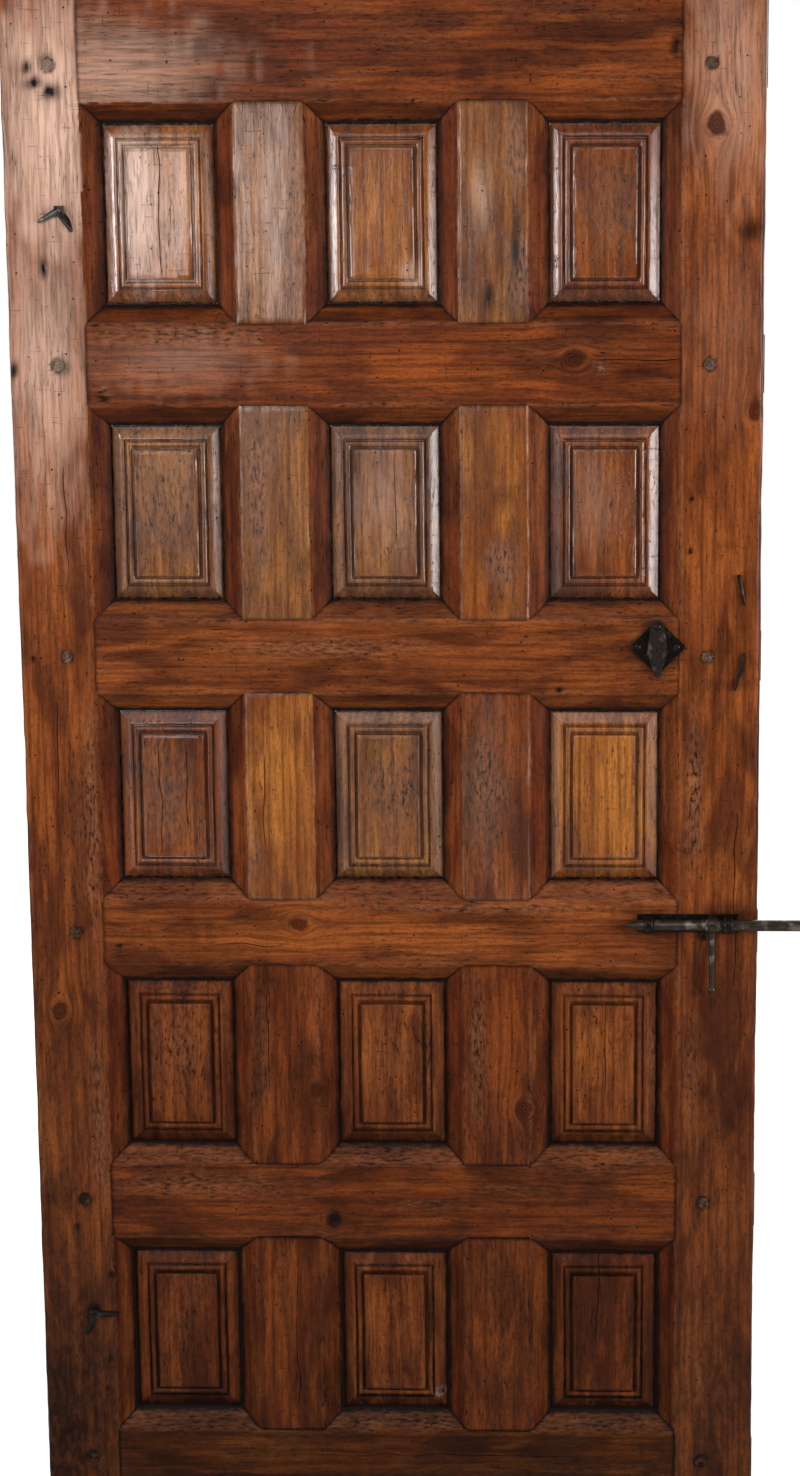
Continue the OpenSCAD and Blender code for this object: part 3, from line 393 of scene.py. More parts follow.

# %% [markdown]
# ## Marks of age
#
# The places of holes, stains, knots and splits are read off the photo and kept as named rows: the
# piece, what the mark is, its pixel, its half size across and up in millimetres, and how strong it is. The
# strength of a pit or notch is its depth in millimetres.

# %% Where the wood is marked
MARK_ROWS = [
    # Bleached wood with painted sheen where the glare falls, mostly upper left
    ("left_stile", [("pale", 50, 130, 74, 200, 1.05), ("pale", 45, 370, 64, 180, 0.72)]),
    ("panel_1_left", [("pale", 140, 205, 34, 110, 0.95), ("pale", 180, 200, 30, 90, 0.4)]),
    ("muntin_1_left", [("pale", 268, 200, 46, 120, 0.28)]),
    ("rail_1", [("pale", 110, 75, 150, 70, 0.5)]),
    ("panel_1_middle", [("pale", 412, 275, 16, 22, 0.7)]),
    ("muntin_1_right", [("pale", 480, 200, 14, 46, 0.42)]),
    ("right_stile", [
        ("pale", 735, 70, 60, 150, 0.42), ("pale", 725, 330, 60, 130, 0.08),
        ("honey", 735, 110, 60, 200, 0.75), ("dirt_and_shade", 717, 124, 24, 26, 0.3)]),
    ("panel_2_middle", [("pale", 385, 500, 44, 80, 0.25)]),
    ("panel_5_middle", [("pale", 440, 1396, 7, 7, 0.8)]),
    ("panel_2_right", [("pale", 590, 500, 30, 70, 0.15)]),
    # Left stile: holes near the top, dry inner strip, dark foot, worn outer edge
    ("left_stile", [
        ("pit", 27, 68, 4, 6, 2.5), ("pit", 47, 58, 5, 5, 2.5), ("pit", 34, 84, 6, 4, 2.5),
        ("pit", 50, 92, 5, 5, 2.5), ("dirt_and_shade", 27, 67, 8, 13, 1.08), ("dirt_and_shade", 46, 61, 13, 14, 0.75),
        ("dirt_and_shade", 34, 83, 14, 10, 1.25), ("dirt_and_shade", 50, 92, 13, 12, 1.22), ("pit", 43, 268, 2, 7, 4),
        ("dirt_and_shade", 43, 268, 7, 18, 1.12), ("dirt_and_shade", 13, 372, 7, 11, 1.2), ("honey", 50, 520, 40, 200, 0.7),
        ("dry", 92, 820, 13, 190, 0.75), ("dry", 100, 1120, 12, 150, 0.7),
        ("dirt_and_shade", 60, 1090, 110, 260, 0.5), ("dirt_and_shade", 66, 1440, 150, 420, 0.97), ("dirt_and_shade", 33, 659, 4, 5, 1.5),
        ("dirt_and_shade", 94, 1310, 20, 16, 1.3), ("pit", 112, 1275, 6, 5, 3), ("pit", 110, 1355, 6, 7, 3),
        ("dirt_and_shade", 110, 1358, 8, 14, 1.3), ("dirt_and_shade", 107, 1388, 7, 9, 1.25), ("dirt_and_shade", 112, 1275, 8, 7, 1.25),
        ("dirt_and_shade", 78, 1226, 10, 5, 1.25), ("dirt_and_shade", 72, 995, 9, 24, 0.75), ("dirt_and_shade", 64, 367, 15, 15, 0.85),
        ("dirt_and_shade", 20, 470, 12, 50, 0.3), ("notch", 22, 1280, 9, 75, 3.5), ("notch", 16, 760, 9, 55, 2)]),
    # Right stile: stain, screw holes, rust with painted shadows round and under the lock's nails, dry inner
    # strip
    ("right_stile", [
        ("dirt_and_shade", 752, 231, 24, 15, 0.85), ("honey", 735, 500, 40, 170, 0.7), ("dirt_and_shade", 692, 499, 4, 5, 1.6),
        ("dirt_and_shade", 690, 551, 4, 5, 1.6), ("dirt_and_shade", 733, 640, 24, 70, 0.4), ("dirt_and_shade", 728, 545, 16, 9, 0.45),
        ("dry", 694, 790, 15, 120, 0.8), ("dry", 690, 1080, 12, 90, 0.55),
        ("dirt_and_shade", 725, 1150, 120, 330, 0.5), ("dirt_and_shade", 720, 1420, 140, 320, 0.76),
        ("dirt_and_shade", 688, 1330, 12, 90, 0.5), ("pit", 701, 1462, 4, 4, 4), ("dirt_and_shade", 742, 590, 9, 22, 0.6),
        ("dirt_and_shade", 741, 668, 9, 22, 0.65), ("dirt_and_shade", 733, 684, 34, 10, 0.6), ("dirt_and_shade", 735, 916, 64, 28, 0.75),
        # The dark streak left of the bolt handle is the handle's painted shadow
        ("dirt_and_shade", 706, 955, 12, 50, 0.45)]),
    # Dirt round the keyhole plate, with the plate's painted shadow to its left
    ("rail_3", [("dirt_and_shade", 645, 652, 48, 40, 0.6)]),
    ("rail_4", [("dirt_and_shade", 655, 915, 60, 12, 0.7)]),
    ("right_stile", [
        ("notch", 772, 500, 9, 60, 2.5), ("notch", 768, 1100, 9, 120, 2.5), ("notch", 770, 1330, 9, 70, 3)]),
    # Rails from the top down
    ("rail_1", [
        ("honey", 570, 80, 130, 22, 0.8), ("dirt_and_shade", 400, 40, 130, 40, 0.2), ("dry", 330, 80, 40, 10, 0.5),
        ("dirt_and_shade", 560, 25, 160, 20, 0.3), ("pit", 675, 45, 10, 3, 2), ("dirt_and_shade", 676, 45, 8, 15, 1.3),
        ("dirt_and_shade", 203, 86, 16, 16, 0.25)]),
    ("rail_2", [
        ("dry", 190, 335, 130, 16, 0.8), ("dry", 103, 394, 14, 12, 1), ("pit", 101, 398, 10, 8, 3),
        ("honey", 450, 372, 150, 34, 0.95), ("dry", 600, 367, 12, 10, 0.9), ("dirt_and_shade", 640, 371, 46, 8, 0.7),
        ("dirt_and_shade", 577, 360, 26, 22, 0.5), ("dirt_and_shade", 170, 338, 100, 18, 0.3)]),
    ("rail_3", [
        ("dry", 330, 648, 150, 16, 0.6), ("honey", 500, 665, 120, 20, 0.4), ("dirt_and_shade", 559, 690, 6, 6, 1.3),
        ("dirt_and_shade", 620, 665, 40, 40, 0.3)]),
    ("rail_4", [
        ("honey", 380, 938, 330, 30, 0.8), ("dirt_and_shade", 262, 918, 46, 15, 0.55),
        ("dry", 480, 908, 240, 8, 0.75), ("dirt_and_shade", 119, 946, 5, 4, 1.6), ("dirt_and_shade", 650, 925, 90, 30, 0.35)]),
    ("rail_5", [
        ("dry", 200, 1185, 160, 22, 0.6), ("pit", 335, 1222, 6, 4, 5), ("dirt_and_shade", 334, 1219, 11, 14, 1.4),
        ("dirt_and_shade", 357, 1228, 9, 14, 0.8), ("dry", 430, 1205, 60, 10, 0.5), ("dry", 510, 1190, 60, 9, 0.5),
        ("dry", 600, 1170, 60, 8, 0.6), ("honey", 590, 1212, 110, 20, 0.85),
        ("dirt_and_shade", 430, 1205, 60, 14, 0.5), ("dirt_and_shade", 500, 1192, 60, 12, 0.5),
        ("dirt_and_shade", 580, 1172, 70, 9, 0.45)]),
    ("rail_6", [("dirt_and_shade", 400, 1462, 420, 40, 0.4), ("dry", 400, 1424, 300, 5, 0.6)]),
    # Muntins
    ("muntin_1_left", [("honey", 250, 190, 22, 90, 0.7), ("dry", 298, 215, 18, 120, 0.8)]),
    ("muntin_1_right", [
        ("dry", 515, 150, 22, 60, 0.75), ("honey", 480, 190, 18, 26, 0.6), ("dry", 520, 270, 18, 60, 0.9),
        ("dirt_and_shade", 516, 245, 7, 46, 1.1), ("dirt_and_shade", 489, 296, 5, 18, 1.15)]),
    ("muntin_2_left", [("dry", 258, 490, 20, 130, 0.85), ("honey", 300, 490, 20, 130, 0.7)]),
    ("muntin_2_right", [
        ("dirt_and_shade", 505, 497, 16, 20, 0.6), ("dry", 500, 565, 30, 44, 0.75), ("honey", 500, 440, 30, 60, 0.6)]),
    ("muntin_3_left", [("honey", 285, 780, 40, 120, 1.1), ("dry", 255, 850, 9, 60, 0.6)]),
    ("muntin_3_right", [("dirt_and_shade", 468, 790, 10, 130, 0.6), ("dry", 485, 790, 40, 140, 0.75)]),
    ("muntin_4_left", [
        ("dirt_and_shade", 258, 1050, 14, 120, 0.6), ("dry", 262, 1050, 14, 120, 0.5),
        ("dirt_and_shade", 313, 1058, 11, 16, 0.55), ("dirt_and_shade", 316, 1090, 18, 18, 0.35)]),
    ("muntin_4_right", [("dry", 478, 1050, 14, 110, 0.7), ("dirt_and_shade", 470, 1060, 9, 110, 0.5)]),
    ("muntin_5_left", [("honey", 282, 1310, 26, 110, 1.1), ("dirt_and_shade", 322, 1385, 16, 60, 0.8)]),
    ("muntin_5_right", [("honey", 488, 1320, 22, 120, 1), ("dirt_and_shade", 532, 1320, 13, 110, 0.75)]),
    # Panels
    ("panel_1_left", [("honey", 185, 200, 26, 90, 0.7), ("dry", 140, 120, 20, 30, 0.2)]),
    ("panel_1_middle", [("honey", 385, 200, 60, 90, 0.75), ("dirt_and_shade", 415, 245, 5, 26, 0.6)]),
    ("panel_1_right", [("dry", 610, 205, 60, 90, 0.45)]),
    ("panel_2_left", [("dry", 170, 500, 60, 90, 0.6)]),
    ("panel_2_middle", [("dry", 385, 500, 50, 90, 0.35)]),
    ("panel_2_right", [("dirt_and_shade", 606, 500, 7, 40, 0.45), ("dry", 610, 500, 55, 90, 0.45)]),
    ("panel_3_left", [("dirt_and_shade", 170, 800, 60, 90, 0.25), ("dry", 165, 800, 50, 90, 0.6)]),
    ("panel_3_middle", [("dry", 395, 790, 60, 100, 0.55)]),
    ("panel_3_right", [("honey", 600, 790, 70, 110, 0.9), ("dry", 660, 800, 10, 70, 0.8)]),
    ("panel_4_left", [("dirt_and_shade", 180, 1060, 50, 80, 0.2), ("dry", 180, 1050, 60, 90, 0.5)]),
    ("panel_4_middle", [("honey", 385, 1050, 50, 80, 0.55), ("dry", 390, 1050, 50, 90, 0.35)]),
    ("panel_4_right", [
        ("honey", 590, 1045, 60, 90, 0.95), ("dry", 655, 1060, 10, 70, 0.7),
        ("dirt_and_shade", 592, 1091, 14, 7, 0.65)]),
    ("panel_5_left", [("dirt_and_shade", 185, 1320, 70, 100, 0.35)]),
    ("panel_5_middle", [
        ("honey", 370, 1320, 24, 80, 0.6), ("dirt_and_shade", 430, 1325, 14, 90, 0.9), ("pit", 440, 1396, 6, 6, 3),
        ("dry", 440, 1396, 7, 7, 1)]),
    ("panel_5_right", [("dirt_and_shade", 634, 1330, 24, 110, 0.92)]),
    # Keyhole behind the plate, black inside with painted shade, stains round the upper pegs, and a pale patch
    ("rail_3", [("pit", 657.3, 655, 9, 16, 16), ("dirt_and_shade", 657.3, 655, 12, 18, 1.75)]),
    ("left_stile", [("dirt_and_shade", 42, 94, 24, 13, 0.3)]),
    ("right_stile", [("dirt_and_shade", 714, 82, 34, 26, 0.34), ("dirt_and_shade", 714, 350, 44, 40, 0.3)]),
    ("rail_2", [("pale", 180, 362, 120, 40, 0.2)]),
]
MARKS = [(piece, *mark) for piece, marks in MARK_ROWS for mark in marks]

# Knots: piece, pixel, radius in millimetres
KNOTS = [
    ("right_stile", 717, 125, 15), ("right_stile", 755, 412, 11), ("rail_2", 575, 360, 13),
    ("rail_4", 300, 925, 12), ("muntin_4_left", 316, 1090, 11), ("muntin_4_right", 525, 1110, 12),
    ("left_stile", 60, 1010, 12), ("rail_5", 335, 1222, 9),
]

# Splits along the grain: piece, pixel of the middle, half length and depth in millimetres
SPLITS = [
    ("panel_1_left", 158, 210, 75, 5), ("panel_4_right", 605, 1050, 60, 4), ("panel_3_left", 160, 800, 70, 3),
    ("panel_3_left", 185, 790, 55, 3), ("muntin_5_left", 298, 1330, 100, 5),
    ("muntin_3_left", 264, 802, 60, 2),
    ("left_stile", 66, 525, 70, 3), ("left_stile", 57, 750, 60, 3), ("rail_2", 640, 360, 60, 3),
    ("rail_4", 250, 945, 45, 3), ("panel_5_right", 597, 1300, 60, 3), ("right_stile", 735, 900, 110, 3),
    ("rail_6", 420, 1455, 200, 3), ("muntin_4_left", 268, 1040, 70, 3), ("panel_2_middle", 395, 500, 60, 2),
]

# Tone of each piece; what isn't named is red-brown
TONE_OF = {
    "honey": ["panel_1_left", "panel_1_middle", "panel_3_right", "muntin_3_left", "muntin_2_right"],
    "dry_tan": ["muntin_1_left", "muntin_1_right", "muntin_2_left", "panel_2_left", "panel_2_middle",
                "panel_3_middle"],
    "dark_red": ["rail_1", "rail_2", "rail_5", "muntin_4_left", "muntin_4_right", "muntin_5_left",
                 "muntin_5_right", "panel_4_left", "panel_5_left", "panel_5_right"],
    "umber": ["rail_6"],
}
tone_of = {piece: tone for tone, pieces in TONE_OF.items() for piece in pieces}
print(len(MARKS), "marks,", len(KNOTS), "knots,", len(SPLITS), "splits")

# %% [markdown]
# ## Skins
#
# A skin is a set of point grids that share their border points. Welding them gives one closed mesh, which is
# then moved point by point. Sculpting would do the same, but it could not be rebuilt after a change of size.

# %% Noise and grids
def cell_value(cells, seed):
    """A fixed value from 0 to 1 for each whole-numbered cell."""
    mixed = np.zeros(cells.shape[:-1], np.uint32) + np.uint32(seed * 7919 % 65521)
    for axis, prime in enumerate((374761393, 668265263, 2246822519)):
        mixed = (mixed ^ (cells[..., axis].astype(np.uint32) * np.uint32(prime))) * np.uint32(1274126177)
        mixed ^= mixed >> np.uint32(15)
    return (mixed & np.uint32(0xFFFF)) / 65535.0


def noise(points, sizes, seed=0):
    """Soft noise from 0 to 1 that changes over the given sizes along each axis."""
    scaled = points / np.asarray(sizes)
    base = np.floor(scaled).astype(np.int64)
    part = scaled - base
    part = part * part * (3 - 2 * part)
    total = 0.0
    for corner in itertools.product((0, 1), repeat=3):
        share = np.prod(np.where(corner, part, 1 - part), axis=1)
        total = total + share * cell_value(base + np.array(corner), seed)
    return total


def falloff(distance, reach):
    """1 at no distance, falling smoothly to 0 at the reach."""
    near = np.clip(1 - distance / reach, 0, 1)
    return near * near * (3 - 2 * near)


def lines(start, stop, step, keep=()):
    """Even lines from start to stop, with the kept ones among them."""
    even = np.linspace(start, stop, max(1, round((stop - start) / step)) + 1)
    return np.unique(np.round(np.concatenate([even, np.asarray(keep, float)]), 6))


def sheet(us, vs, d):
    """Grid of points at one depth."""
    u, v = np.meshgrid(us, vs, indexing="ij")
    return np.stack([u, v, np.full_like(u, d)], axis=-1)


WELD = 5e-6
FACE_SLOT, CHAMFER_SLOT, BACK_SLOT = 0, 1, 2


class Skin:
    """Gathers grids and flat caps, and welds them into one closed, smooth mesh."""

    def __init__(self):
        self.points, self.faces, self.slots = [], [], []

    def grid(self, points, slot=FACE_SLOT):
        rows, columns = points.shape[:2]
        index = len(self.points) + np.arange(rows * columns).reshape(rows, columns)
        corners = [index[:-1, :-1], index[1:, :-1], index[1:, 1:], index[:-1, 1:]]
        quads = np.stack(corners, axis=-1).reshape(-1, 4).tolist()
        self.points.extend(points.reshape(-1, 3).tolist())
        self.faces.extend(quads)
        self.slots.extend([slot] * len(quads))

    def cap(self, points):
        self.faces.append(list(range(len(self.points), len(self.points) + len(points))))
        self.points.extend([list(p) for p in points])
        self.slots.append(FACE_SLOT)

    def mesh(self, name):
        made = bpy.data.meshes.new(name)
        made.from_pydata(self.points, [], self.faces)
        made.polygons.foreach_set("material_index", self.slots)
        work = bmesh.new()
        work.from_mesh(made)
        bmesh.ops.remove_doubles(work, verts=work.verts, dist=WELD)
        bmesh.ops.recalc_face_normals(work, faces=work.faces)
        work.to_mesh(made)
        work.free()
        made.polygons.foreach_set("use_smooth", [True] * len(made.polygons))
        return made


@dataclass
class Board:
    """A wooden piece: u runs along its grain, v across its face and d back from the leaf's front."""
    name: str
    x: float
    z: float
    upright: bool
    length: float
    width: float
    low_runs: list
    high_runs: list
    outer: tuple = ()

    @property
    def seed(self):
        return sum((i + 1) * ord(c) for i, c in enumerate(self.name)) % 9973

    def to_world(self, local):
        u, v, d = local.T
        across, rise = (v, u) if self.upright else (u, v)
        return np.stack([self.x + across, FRONT + d, self.z + rise], axis=1)

    def to_local(self, px, py):
        x, z = on_face(px, py)
        return (z - self.z, x - self.x) if self.upright else (x - self.x, z - self.z)


# %% [markdown]
# A frame member is a board with mitred, chamfered strips along the openings. The strip's section goes from
# the arris over the chamfer and lip into the groove that holds the panel, and out to the back.

# %% Skin of a frame member
EDGE_LINES = np.array([0.7, 1.8, 3.2]) * MM
SIDE_DEPTHS = np.array([2, 5, 9, 18, 27, 36, 40, 43]) * MM
CHAMFER_STEPS = np.linspace(0, 1, 8)
lip_d, groove_d = CHAMFER_D + LIP, CHAMFER_D + LIP + GROOVE_T
FRONT_SECTION = [(CHAMFER_W * s, CHAMFER_D * s) for s in CHAMFER_STEPS]
FRONT_SECTION += [(CHAMFER_W, lip_d), (CHAMFER_W - GROOVE_DEPTH, lip_d)]
BACK_SECTION = [(CHAMFER_W - GROOVE_DEPTH, lip_d), (CHAMFER_W - GROOVE_DEPTH, groove_d)]
BACK_SECTION += [(CHAMFER_W, groove_d), (CHAMFER_W, THICK), (0, THICK)]
SPLIT_LINES = np.array([-2.0, -0.5, 0, 0.5, 2.0]) * MM
MEMBER_STEP_ALONG, MEMBER_STEP_ACROSS, BACK_LINES = 4 * MM, 2.9 * MM, 6


def board_splits(board):
    """The board's own splits as place along and across, half length and depth."""
    own = [s for s in SPLITS if s[0] == board.name]
    return [(*board.to_local(px, py), half * MM, depth * MM) for _, px, py, half, depth in own]


def member_skin(board):
    """Closed skin of a stile, rail or muntin, in the board's own directions."""
    runs = board.low_runs + board.high_runs
    us = lines(0, board.length, MEMBER_STEP_ALONG, [end for run in runs for end in run])
    keep = [*EDGE_LINES, *(board.width - EDGE_LINES)]
    keep += [v + line for _, v, _, _ in board_splits(board) for line in SPLIT_LINES]
    vs = lines(0, board.width, MEMBER_STEP_ACROSS, keep)
    back_vs = np.linspace(0, board.width, BACK_LINES)
    skin = Skin()
    skin.grid(sheet(us, vs, 0))
    skin.grid(sheet(us, back_vs, THICK))
    depths = np.concatenate([[0], SIDE_DEPTHS, [THICK]])

    def strip(section, inside, start, stop, edge, sign):
        w, d = (np.array(c)[:, None] for c in zip(*section))
        along = start + w + (inside - start) / (stop - start) * (stop - start - 2 * w)
        return np.stack(np.broadcast_arrays(along, edge + sign * w, d), axis=-1)

    for edge_runs, edge, sign in ((board.low_runs, 0.0, -1), (board.high_runs, board.width, 1)):
        reached = 0.0
        for start, stop in [*edge_runs, (board.length, board.length)]:
            if start - reached > TINY:
                plain = us[(us >= reached - TINY) & (us <= start + TINY)]
                side_u, side_d = np.meshgrid(plain, depths, indexing="ij")
                skin.grid(np.stack([side_u, np.full_like(side_u, edge), side_d], axis=-1))
            reached = stop
            if stop - start < TINY:
                continue
            inside = us[(us >= start - TINY) & (us <= stop + TINY)]
            skin.grid(strip(FRONT_SECTION, inside, start, stop, edge, sign), CHAMFER_SLOT)
            skin.grid(strip(BACK_SECTION, inside, start, stop, edge, sign))
            for end, way in ((start, 1), (stop, -1)):
                outline = [(end + way * w, edge + sign * w, d) for w, d in FRONT_SECTION + BACK_SECTION[1:]]
                if TINY < end < board.length - TINY:
                    outline += [(end, edge, d) for d in SIDE_DEPTHS[::-1]]
                skin.cap(outline)
    for end in (0.0, board.length):
        outline = [(end, v, 0) for v in vs]
        if not any(abs(e - end) < TINY for run in board.high_runs for e in run):
            outline += [(end, board.width, d) for d in SIDE_DEPTHS]
        outline += [(end, v, THICK) for v in back_vs[::-1]]
        if not any(abs(e - end) < TINY for run in board.low_runs for e in run):
            outline += [(end, 0, d) for d in SIDE_DEPTHS[::-1]]
        skin.cap(outline)
    return skin


# %% [markdown]
# ### Age of a piece
#
# No point moves out from its face: planing leaves long shallow hollows, arrises round over and sway
# sideways, holes sink and splits open. The same pass writes the finish, so dirt and painted shade lie in the
# hollows and dry wear on the edges.

# %% Wear and finish
PEG_R = 7.5 * MM
# Every piece gets darker towards the foot of the leaf
FOOT_DARKENING, FOOT_REACH = 0.42, 1000 * MM
WASHED_TO = 760 * MM
pegs_low, pegs_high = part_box("joint_pegs")
PEG_XS = (pegs_low.x + PEG_R, pegs_high.x - PEG_R)
# Each rail's pegs stand in its middle, to a tenth of a millimetre, but at top and bottom nearer the panels
PEG_Z = dict(zip(RAILS, (1.851, 1.5037, 1.1538, 0.8107, 0.4647, 0.121)))
print("pegs at", PEG_XS, PEG_Z)

MARK_NOISE, MARK_REACH = (9 * MM, 9 * MM, 26 * MM), 1.35
SPLIT_WANDER, WANDER_OVER, WANDER_REACH = 5 * MM, 34 * MM, 16 * MM
SPLIT_GAP, SPLIT_STAIN = 0.5 * MM, 0.9 * MM
KNOT_OVAL, KNOT_BEND = 1.25, 7


def own_marks(board, kind, world, seed):
    """How strongly each point lies in the board's marks of a kind."""
    total = np.zeros(len(world))
    for place, (piece, what, px, py, half_x, half_z, strength) in enumerate(MARKS):
        if piece != board.name or what != kind:
            continue
        x, z = on_face(px, py)
        reach = ((world[:, 0] - x) / (half_x * MM)) ** 2 + ((world[:, 2] - z) / (half_z * MM)) ** 2
        ragged = 0.6 + 0.8 * noise(world, MARK_NOISE, seed + place)
        total = np.maximum(total, strength * falloff(np.sqrt(reach) * ragged, MARK_REACH))
    return total


def open_splits(board, local):
    """Wanders and opens the board's splits, and returns how near each point is to one."""
    near_split = np.zeros(len(local))
    for place, (u0, v0, half, depth) in enumerate(board_splits(board)):
        u, v, d = local.T
        inside = np.clip(1 - ((u - u0) / half) ** 2, 0, 1) * (d < THICK / 2)
        gap = np.abs(v - v0)
        wander = (noise(local * (1, 0, 0), (WANDER_OVER,) * 3, board.seed + place) - 0.5) * SPLIT_WANDER
        local[:, 1] += wander * falloff(gap, WANDER_REACH) * (inside > 0)
        local[:, 2] += depth * np.sqrt(inside) * falloff(gap, SPLIT_GAP)
        near_split = np.maximum(near_split, np.sqrt(inside) * falloff(gap, SPLIT_STAIN))
    return near_split


def knot_grain(board, local):
    """Grain coordinates that part round the board's knots, and the knots' own depth of colour."""
    grain, inside = local.copy(), np.zeros(len(local))
    for piece, px, py, radius in KNOTS:
        if piece != board.name:
            continue
        u0, v0 = board.to_local(px, py)
        radius *= MM
        away = np.hypot((local[:, 0] - u0) / KNOT_OVAL, local[:, 1] - v0)
        uneven = 0.7 + 0.6 * noise(local, (radius * 0.9,) * 3, board.seed + 9)
        parted = 1 - radius ** 2 / np.maximum(away, radius * 0.75) ** 2
        grain[:, 1] += (local[:, 1] - v0) * (np.clip(parted, -0.8, 1) - 1) * falloff(away, radius * KNOT_BEND)
        front = local[:, 2] < THICK / 2
        inside = np.maximum(inside, np.clip(1.12 - away * uneven / radius, 0, 1) * front)
    # The pattern is shifted for each board, so that no two look alike
    grain[:, 0] += board.seed % 97 * 0.37
    grain[:, 1] += board.seed % 89 * 0.29
    return grain, inside


SHARP_EDGE = math.radians(34)
ATTRIBUTE_KINDS = {"pale": ("FLOAT", "value"), "grain": ("FLOAT_VECTOR", "vector"),
                   "finish": ("FLOAT_COLOR", "color")}


def write_attributes(mesh, **attributes):
    """Gives the mesh's points the values that the wood shader reads."""
    for name, values in attributes.items():
        kind, field = ATTRIBUTE_KINDS[name]
        mesh.attributes.new(name, kind, "POINT").data.foreach_set(field, values.ravel())


def dress(board, skin, shape, tone):
    """Makes the piece: its mesh is shaped and given its attributes, materials, body and slot."""
    mesh = skin.mesh(board.name)
    count = len(mesh.vertices)
    flat = np.empty(count * 3)
    mesh.vertices.foreach_get("co", flat)
    local = flat.reshape(-1, 3)
    grain, knot = knot_grain(board, local)
    world = board.to_world(local)
    finish = shape(board, local, world)
    near_split = open_splits(board, local)
    finish[:, 1] = np.maximum(finish[:, 1], 0.9 * near_split)
    finish[:, 3] = knot
    mesh.vertices.foreach_set("co", board.to_world(local).ravel())
    face = (local[:, 1] > -TINY) & (local[:, 1] < board.width + TINY)
    pale = own_marks(board, "pale", world, board.seed) * face
    write_attributes(mesh, pale=pale, grain=grain, finish=np.clip(finish, 0, 2))
    mesh.update()
    mesh.set_sharp_from_angle(angle=SHARP_EDGE)
    normals, slots = np.empty(len(mesh.polygons) * 3), np.empty(len(mesh.polygons), int)
    mesh.polygons.foreach_get("normal", normals)
    mesh.polygons.foreach_get("material_index", slots)
    slots[normals[1::3] > 0.5] = BACK_SLOT
    mesh.polygons.foreach_set("material_index", slots)
    waxed = DULL_TONES if board.z < WASHED_TO else TONES
    face_tone = STILE_TONE if "stile" in board.name else waxed[tone]
    for material in (face_tone, CHAMFER_TONE, DULL_TONES[tone]):
        mesh.materials.append(material)
    made = put(board.name + "_worn", mesh)
    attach(made, "leaf")
    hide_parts(board.name)
    return made


# Noise sizes in millimetres along, across and into the board: long, short, edge and fine
MEMBER_NOISE = ((190, 34, 30), (45, 9, 20), (26, 20, 20), (9, 4, 8))
OUTER_NOISE = (60 * MM, 50 * MM, 12 * MM)
MEMBER_HOLLOWS = (0.75, 0.3, 0.12)
ARRIS_REACH, JOINT_DEPTH, JOINT_REACH, SEAM_REACH = 3.4 * MM, 0.55 * MM, 1.6 * MM, 2.2 * MM
SWAYS, SWAY_REACH, CORNER_REACH = ((1.3, 60 * MM), (0.9, 15 * MM)), 9 * MM, 10 * MM
OUTER_REACH, OUTER_ARRIS, OUTER_SINK = 14 * MM, 1 * MM, 7 * MM
FRONT_ROUND, FRONT_OVER, BACK_ROUND, BACK_OVER = 2.6, 8 * MM, 1.8, 7 * MM
PEG_RING, LIP_REACH, MITRE_REACH, WORN_REACH = 2.6 * MM, 7 * MM, 2.4 * MM, 5 * MM
SHADE_FROM, SHADE_OVER = 700 * MM, 900 * MM


def board_noises(local, sizes, seed):
    """The board's long, short, edge and fine noise."""
    return [noise(local, np.array(size) * MM, seed + place) for place, size in enumerate(sizes)]


def planed(depths, *noises):
    """Depth of the planing hollows in millimetres."""
    return sum(depth * wave for depth, wave in zip(depths, noises))


